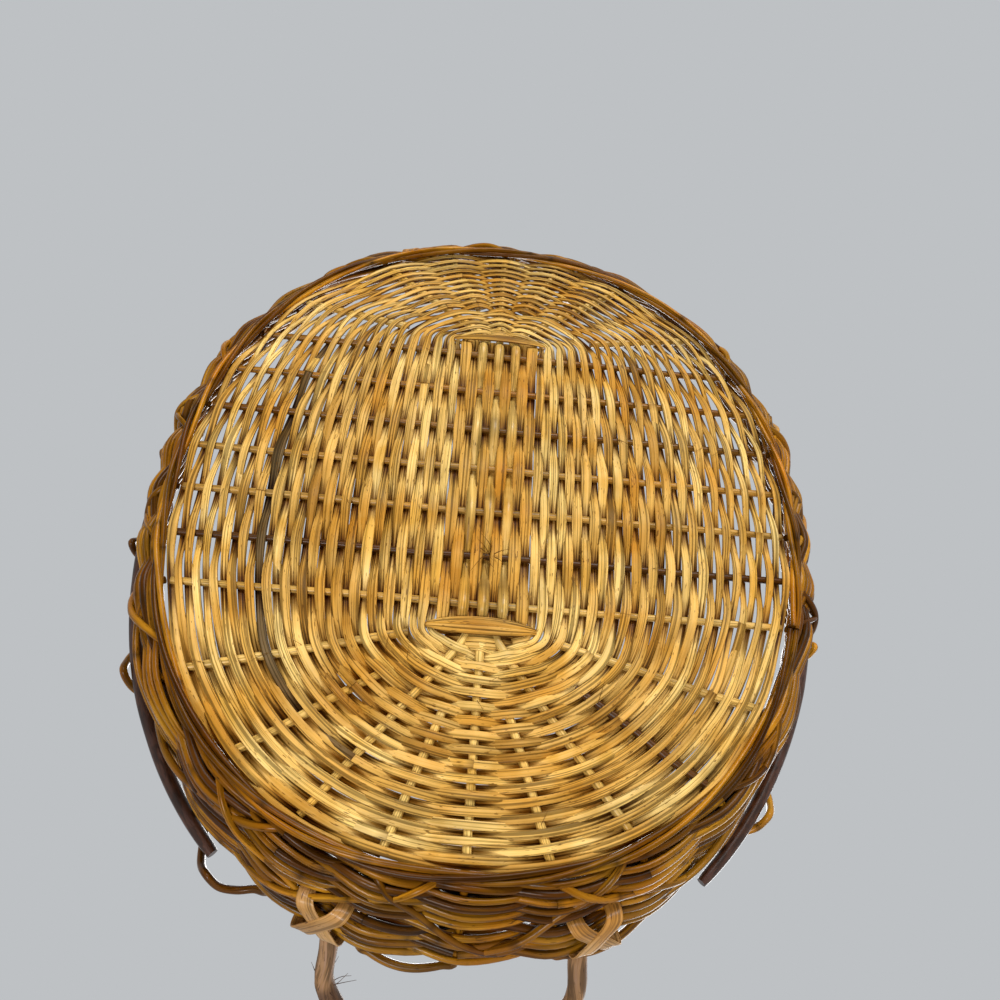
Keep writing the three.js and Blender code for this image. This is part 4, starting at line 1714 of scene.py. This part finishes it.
@dataclass
class Rim:
    """Bark-on rails on the long sides, and the lashed branch handles at both ends."""

    wall: Wall
    rail_tip_radius: float = 2.6 * MM
    rail_points: int = 29
    rail_steps: int = 5
    rail_swell: float = 0.4
    rail_size: float = 0.96
    rail_drift: Drift = (18 * MM, 0.03)
    rail_blotches: Drift = (16 * MM, 0.3)
    deepest_blotch: float = 0.8
    rail_tone: float = 0.4
    handle_radius: float = 4.8 * MM
    handle_steps: int = 14
    handle_size: float = 0.95
    handle_drift: Drift = (12 * MM, 0.035)
    handle_tone: float = 0.3
    handle_reach: float = 74 * MM
    handle_lean: float = math.radians(57)
    handle_foot: float = 22 * MM
    leg_share: float = 0.6
    shoulder_share: float = 0.85
    shoulder_width: float = 0.62
    lashing_width: float = 8 * MM
    lashing_depth: float = 1 * MM
    lashing_slack: float = 1.2 * MM
    lashing_slant: float = 0.75
    lashing_fill: float = 0.47
    lashing_shift: float = 0.92
    lashing_lift: float = 0.05
    lashing_start: float = -0.6 * math.pi
    lashing_tones: Range = (0.1, 0.5)
    # Painted shade along the edges of the lashing strips.
    lashing_edge_shade: float = 0.4
    lashing_steps: int = 56
    lashing_overlap: int = 4
    corner_power: float = 0.35
    facing_power: float = 1.5
    soften_steps: int = 15
    peeled_lengths: tuple[float, float] = (76 * MM, 92 * MM)
    bark_edge: Drift = (6 * MM, 2 * MM)
    bark_blur: float = 1.2 * MM
    bark_mark: float = 0.8
    bark_blotches: Drift = (8 * MM, 0.12)
    deepest_bark: float = 0.95
    hair_count: int = 14
    hair_lengths: Range = (3 * MM, 8 * MM)
    hair_droop: float = 2.5 * MM
    hair_root: float = 0.8
    hair_bend: float = 0.75
    hair_bend_droop: float = 1 / 3
    hair_radii: tuple[float, float] = (0.2 * MM, 0.08 * MM)
    hair_steps: int = 4
    hair_tone: float = 0.8
    hair_mark: float = 0.6
    rng: np.random.Generator = field(default_factory=lambda: np.random.default_rng(37))

    @property
    def rows_reach(self) -> float:
        """How far the woven rows stand out from the stakes."""
        return self.wall.rod_offset + self.wall.rod_radius

    @property
    def handle_outset(self) -> float:
        """Where a handle's leg lies, inside the wall."""
        return -(self.rows_reach + self.wall.touch + self.handle_radius)

    @property
    def lashing_spread(self) -> float:
        """How far a lashing's ends lie to each side of the leg."""
        return self.handle_radius + self.lashing_slack + self.lashing_width / 2

    def build(
        self,
        bark: bpy.types.Material,
        branch: bpy.types.Material,
        peel: bpy.types.Material,
    ) -> None:
        """Builds and dresses the rails, handles and lashings.

        Args:
            bark: the dark rail finish.
            branch: the handle finish.
            peel: the lashing finish.
        """
        for side in Side:
            self.rail(side, bark)
        for end in End:
            self.handle(end, branch)
            for number, place in enumerate(self.leg_places(end), start=1):
                self.lashing(f"{end.name.lower()}_lashing_{number}", place, peel)

    def rail(self, side: Side, finish: bpy.types.Material) -> None:
        """Lays one dark branch along a long side, inside the stake loops.

        Args:
            side: the side it is on.
            finish: its material.
        """
        wall = self.wall
        places = np.linspace(*wall.rail_places(side), self.rail_points)
        points = np.array([wall.form.point(place, wall.rail_rise, wall.rail_outset) for place in places])
        path = smooth(points, self.rail_steps)
        along = lengths_along(path)
        swell = np.sin(math.pi * (along / along[-1])) ** self.rail_swell
        size = self.rail_tip_radius + (wall.rail_radius - self.rail_tip_radius) * swell
        size *= self.rail_size + wander(self.rng, along, self.rail_drift)
        mark = np.clip(wander(self.rng, along, self.rail_blotches), 0, self.deepest_blotch)
        mesh = CaneMesh(f"fine_rim_rail_{side.name.lower()}")
        mesh.sweep(self.rng, path, SKYWARD, size, size, self.rail_tone, mark=mark)
        mesh.dress(finish, "dark_bark", f"rim_rail_{side.name.lower()}")

    def middle_station(self, end: End) -> int:
        """The station number of an end's middle stake."""
        plan = self.wall.form.plan
        return plan.stick_count + plan.far_reach if end is End.FAR else plan.near_start + plan.near_reach

    def leg_places(self, end: End) -> list[float]:
        """Finds where a handle's two legs stand, just past the stakes beside the middle one.

        Args:
            end: the end the handle is on.

        Returns:
            The station numbers of both legs.
        """
        wall = self.wall
        slant = self.lashing_width * self.lashing_slant
        reach = self.lashing_spread + slant + wall.stake_radius + wall.touch
        places = []
        for half in (-1, 1):
            stake = self.middle_station(end) + half
            here, beyond = (wall.form.point(place, wall.top_rise, 0.0) for place in (stake, stake + half))
            places.append(stake + half * reach / float(np.linalg.norm(here - beyond)))
        return places

    def handle(self, end: End, finish: bpy.types.Material) -> None:
        """Bends one branch handle, peeled at its legs and with bark over the top.

        Args:
            end: the end it is on.
            finish: its material.
        """
        form = self.wall.form
        rises = (self.handle_foot, self.wall.top_rise, self.wall.bare_loop_rise)
        lean = np.array([end.value * math.sin(self.handle_lean), 0.0, math.cos(self.handle_lean)])
        shoulder = self.leg_share + (1 - self.leg_share) * self.shoulder_share
        hoop = ((1.0, self.leg_share / 2), (1.0, self.leg_share), (self.shoulder_width, shoulder))
        halves = []
        for place in self.leg_places(end):
            leg = [form.point(place, rise, self.handle_outset) for rise in rises]
            bent = []
            for width, share in hoop:
                spot = leg[-1] + lean * self.handle_reach * share
                bent.append(spot * np.array([1.0, width, 1.0]))
            halves.append(leg + bent)
        top = (halves[0][2] + lean * self.handle_reach) * np.array([1.0, 0.0, 1.0])
        path = smooth(np.array([*halves[0], top, *reversed(halves[1])]), self.handle_steps)
        window = np.hanning(self.soften_steps)
        margin = self.soften_steps // 2
        spare = np.pad(path, ((margin, margin), (0, 0)), "reflect", reflect_type="odd")
        path = np.stack([np.convolve(column, window / window.sum(), "valid") for column in spare.T], -1)
        along = lengths_along(path)
        from_end = np.minimum(along, along[-1] - along)
        size = self.handle_radius * (self.handle_size + wander(self.rng, along, self.handle_drift))
        peeled = np.where(along < along[-1] / 2, *self.peeled_lengths)
        past_peel = from_end - peeled + wander(self.rng, along, self.bark_edge)
        bark = 1 / (1 + np.exp(-past_peel / self.bark_blur))
        mark = self.bark_mark * bark + wander(self.rng, along, self.bark_blotches)
        mark = np.clip(mark, 0, self.deepest_bark)
        mesh = CaneMesh(f"fine_{end.name.lower()}_handle")
        mesh.sweep(self.rng, path, np.array([1.0, 0.0, 0.0]), size, size, self.handle_tone, mark=mark)
        barked = np.flatnonzero(bark > 0.5)
        for edge in (barked[0], barked[-1]):
            self.bark_hairs(mesh, path[edge])
        mesh.dress(finish, "branch_bark", f"{end.name.lower()}_handle")

    def bark_hairs(self, mesh: CaneMesh, centre: np.ndarray) -> None:
        """Adds fine torn fibres round a leg, where its bark begins.

        Args:
            mesh: the handle's mesh.
            centre: the point of the leg's middle line.
        """
        for _ in range(self.hair_count):
            way = self.rng.normal(0, 1, 3)
            way /= np.linalg.norm(way)
            droop = self.rng.normal(0, self.hair_droop, 3)
            reach = self.handle_radius + self.rng.uniform(*self.hair_lengths)
            root = way * self.hair_root * self.handle_radius
            bend = way * reach * self.hair_bend + droop * self.hair_bend_droop
            hair = smooth(centre + np.array([root, bend, way * reach + droop]), self.hair_steps)
            size = np.linspace(*self.hair_radii, len(hair))
            out = np.cross(way, droop)
            mesh.sweep(self.rng, hair, out, size, size, self.hair_tone, mark=self.hair_mark)

    def lashing(self, name: str, place: float, finish: bpy.types.Material) -> None:
        """Winds a crossed lashing of flat peel round a handle's leg and the wall's upper rows.

        Args:
            name: the solid it stands for.
            place: the leg's station number.
            finish: its material.
        """
        form, wall = self.wall.form, self.wall
        outward = form.outward(place, wall.top_rise)
        upward = (form.point(place, wall.top_rise, 0.0) - form.point(place, wall.top_rise - MM, 0.0)) / MM
        along = np.cross(upward, outward)
        bottom = (wall.row_rise(wall.rows_under_lashing - 1) + wall.row_rise(wall.rows_under_lashing)) / 2
        top = wall.top_rise + wall.rod_radius + wall.touch + self.lashing_depth / 2
        outside = self.rows_reach + wall.touch + self.lashing_depth / 2
        inside = self.handle_outset - self.handle_radius - self.lashing_slack - self.lashing_depth / 2
        centre_out, half_out = (outside + inside) / 2, (outside - inside) / 2
        centre_rise, half_rise = (top + bottom) / 2, (top - bottom) / 2
        mesh = CaneMesh(f"fine_{name}")
        for lean in (1, -1):
            points, outs = [], []
            for m in range(self.lashing_steps + self.lashing_overlap + 1):
                angle = m / self.lashing_steps * 2 * math.pi + self.lashing_start
                across = float(signed_power(math.cos(angle), self.corner_power))
                up = float(signed_power(math.sin(angle), self.corner_power))
                lift = 1 + self.lashing_lift * (lean > 0) * max(across, 0.0) * (1 - abs(up))
                outset, rise = centre_out + half_out * across * lift, centre_rise + half_rise * up
                shift = lean * self.lashing_spread * up * self.lashing_shift
                points.append(form.point(place, rise, outset) + along * shift)
                facing = signed_power(np.array([math.cos(angle), math.sin(angle)]), self.facing_power)
                outs.append(outward * facing[0] + upward * facing[1])
            half_width, half_depth = self.lashing_fill * self.lashing_width, self.lashing_depth / 2
            tone = self.rng.uniform(*self.lashing_tones)
            mesh.sweep(
                self.rng, np.array(points), np.array(outs), half_width, half_depth, tone,
                section=Section.SPLIT, edge_shade=self.lashing_edge_shade,
            )
        mesh.dress(finish, "peel_strip", name)


@dataclass(frozen=True)
class SoftPanel:
    """A square soft lamp that faces the tray, with its side in metres and its power in watts."""

    name: str
    place: tuple[float, float, float]
    side: float
    power: float

    def hang(self) -> None:
        """Hangs the lamp in its place."""
        lamp = bpy.data.lights.new(self.name, "AREA")
        lamp.size = self.side
        lamp.energy = self.power
        panel = bpy.data.objects.new(self.name, lamp)
        panel.location = self.place
        panel.rotation_euler = (-Vector(self.place)).to_track_quat("-Z", "Y").to_euler()
        bpy.context.scene.collection.objects.link(panel)


# The panels below light the underside, and those above light the inside.
PANELS = (
    SoftPanel("key_below", (1.1, 0.3, -1.7), side=1.0, power=38.0),
    SoftPanel("fill_below", (-0.65, -0.25, -0.85), side=0.3, power=5.5),
    SoftPanel("key_above", (0.3, 0.1, 2.1), side=1.2, power=32.0),
    SoftPanel("fill_above", (-0.6, 1.3, 1.7), side=1.4, power=21.0),
)


@dataclass
class Studio:
    """The floor, soft light, pale surround and the photo's camera."""

    spot: tuple[float, float, float] = (-0.1837, -0.0171, -0.3495)
    rightward: tuple[float, float, float] = (0.051, 0.995, -0.090)
    upward: tuple[float, float, float] = (0.885, -0.087, -0.458)
    lens: float = 27.0
    sensor: float = 36.0
    nearest_seen: float = 10 * MM
    floor_half: float = 3.0
    floor_sides: int = 12
    floor_fade: tuple[float, float] = (0.7, 2.6)
    floor_colour: Colour = srgb(206, 207, 210)
    floor_roughness: float = 0.7
    surround_colour: Colour = srgb(190, 193, 196)
    surround_light: Colour = srgb(250, 250, 252)
    surround_strength: float = 0.22
    panels: tuple[SoftPanel, ...] = PANELS

    def build(self) -> None:
        """Sets up the whole stage."""
        self.floor()
        self.surround()
        for panel in self.panels:
            panel.hang()
        self.camera()

    @staticmethod
    def any_of(
        tree: bpy.types.NodeTree,
        first: bpy.types.NodeSocket,
        *others: bpy.types.NodeSocket,
    ) -> bpy.types.NodeSocket:
        """Takes the greatest of some values from 0 to 1.

        Args:
            tree: the node tree they are in.
            first: the first value.
            others: the other values.

        Returns:
            The greatest value.
        """
        greatest = first
        for value in others:
            either = tree.nodes.new("ShaderNodeMath")
            either.operation = "MAXIMUM"
            tree.links.new(greatest, either.inputs[0])
            tree.links.new(value, either.inputs[1])
            greatest = either.outputs["Value"]
        return greatest

    @staticmethod
    def mix_shaders(
        tree: bpy.types.NodeTree,
        share: bpy.types.NodeSocket,
        first: bpy.types.NodeSocket,
        second: bpy.types.NodeSocket,
        output: str,
    ) -> None:
        """Mixes two shaders into a tree's output.

        Args:
            tree: the node tree.
            share: how much of the second one shows.
            first, second: the shaders.
            output: the name of the output node.
        """
        mix = tree.nodes.new("ShaderNodeMixShader")
        tree.links.new(share, mix.inputs["Fac"])
        tree.links.new(first, mix.inputs[1])
        tree.links.new(second, mix.inputs[2])
        tree.links.new(mix.outputs["Shader"], tree.nodes[output].inputs["Surface"])

    def floor(self) -> None:
        """Lays a pale floor that is seen from above only and fades out into the surround."""
        half = self.floor_half
        angles = [i / self.floor_sides * 2 * math.pi for i in range(self.floor_sides)]
        ring = [(half * math.cos(angle), half * math.sin(angle), 0.0) for angle in angles]
        mesh = bpy.data.meshes.new("floor")
        mesh.from_pydata(ring, [], [tuple(range(self.floor_sides))])
        mesh.materials.append(self.floor_material())
        floor = bpy.data.objects.new("floor", mesh)
        bpy.context.scene.collection.objects.link(floor)

    def floor_material(self) -> bpy.types.Material:
        """Builds the floor's finish, clear from below, to shadows and far out.

        Returns:
            The finished material.
        """
        material = bpy.data.materials.new("pale_floor")
        material.use_nodes = True
        tree = material.node_tree
        shader = tree.nodes["Principled BSDF"]
        shader.inputs["Base Color"].default_value = self.floor_colour
        shader.inputs["Roughness"].default_value = self.floor_roughness
        clear = tree.nodes.new("ShaderNodeBsdfTransparent")
        geometry = tree.nodes.new("ShaderNodeNewGeometry")
        path = tree.nodes.new("ShaderNodeLightPath")
        distance = tree.nodes.new("ShaderNodeVectorMath")
        distance.operation = "LENGTH"
        tree.links.new(geometry.outputs["Position"], distance.inputs[0])
        fade = tree.nodes.new("ShaderNodeMapRange")
        fade.interpolation_type = "SMOOTHSTEP"
        fade.inputs["From Min"].default_value, fade.inputs["From Max"].default_value = self.floor_fade
        tree.links.new(distance.outputs["Value"], fade.inputs["Value"])
        hidden = (geometry.outputs["Backfacing"], path.outputs["Is Shadow Ray"])
        unseen = self.any_of(tree, fade.outputs["Result"], *hidden)
        self.mix_shaders(tree, unseen, shader.outputs["BSDF"], clear.outputs["BSDF"], "Material Output")
        return material

    def surround(self) -> None:
        """Makes the surround pale to look at and softer as a light."""
        world = bpy.data.worlds.new("surround")
        world.use_nodes = True
        tree = world.node_tree
        seen, light = tree.nodes["Background"], tree.nodes.new("ShaderNodeBackground")
        seen.inputs["Color"].default_value = self.surround_colour
        light.inputs["Color"].default_value = self.surround_light
        light.inputs["Strength"].default_value = self.surround_strength
        path = tree.nodes.new("ShaderNodeLightPath")
        rays = ("Is Camera Ray", "Is Glossy Ray", "Is Transmission Ray")
        shown = self.any_of(tree, *(path.outputs[ray] for ray in rays))
        shaders = (light.outputs["Background"], seen.outputs["Background"])
        self.mix_shaders(tree, shown, *shaders, "World Output")
        bpy.context.scene.world = world

    def camera(self) -> None:
        """Stands the camera under the tray's near end, where the photo was taken from."""
        lens = bpy.data.cameras.new("camera")
        lens.lens = self.lens
        lens.sensor_width = self.sensor
        lens.clip_start = self.nearest_seen
        right, up = Vector(self.rightward).normalized(), Vector(self.upward)
        up = (up - right * up.dot(right)).normalized()
        back = right.cross(up)
        camera = bpy.data.objects.new("camera", lens)
        turn = Matrix((right, up, back)).transposed().to_4x4()
        camera.matrix_world = Matrix.Translation(self.spot) @ turn
        bpy.context.scene.collection.objects.link(camera)
        bpy.context.scene.camera = camera


def main() -> None:
    """Builds the stage and every piece of the tray in order."""
    logging.basicConfig(level=logging.INFO, format="%(name)s: %(message)s")
    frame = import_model()
    low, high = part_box("cross_stick_1")
    level = (low.z + high.z) / 2
    bpy.context.scene.view_settings.view_transform = "Standard"
    Studio().build()
    plan = BasePlan()
    WovenBase(plan, level).build(FLAT_CORE.material(), ROUND_CORE.material())
    wall = Wall(WallForm(plan, level))
    wall.build(SKIN_ROD.material())
    Rim(wall).build(DARK_BARK.material(), BRANCH_BARK.material(), PEEL_STRIP.material())
    LOG.info("dressed %d nodes of the frame", len(frame["nodes"]))


if __name__ == "__main__":
    main()
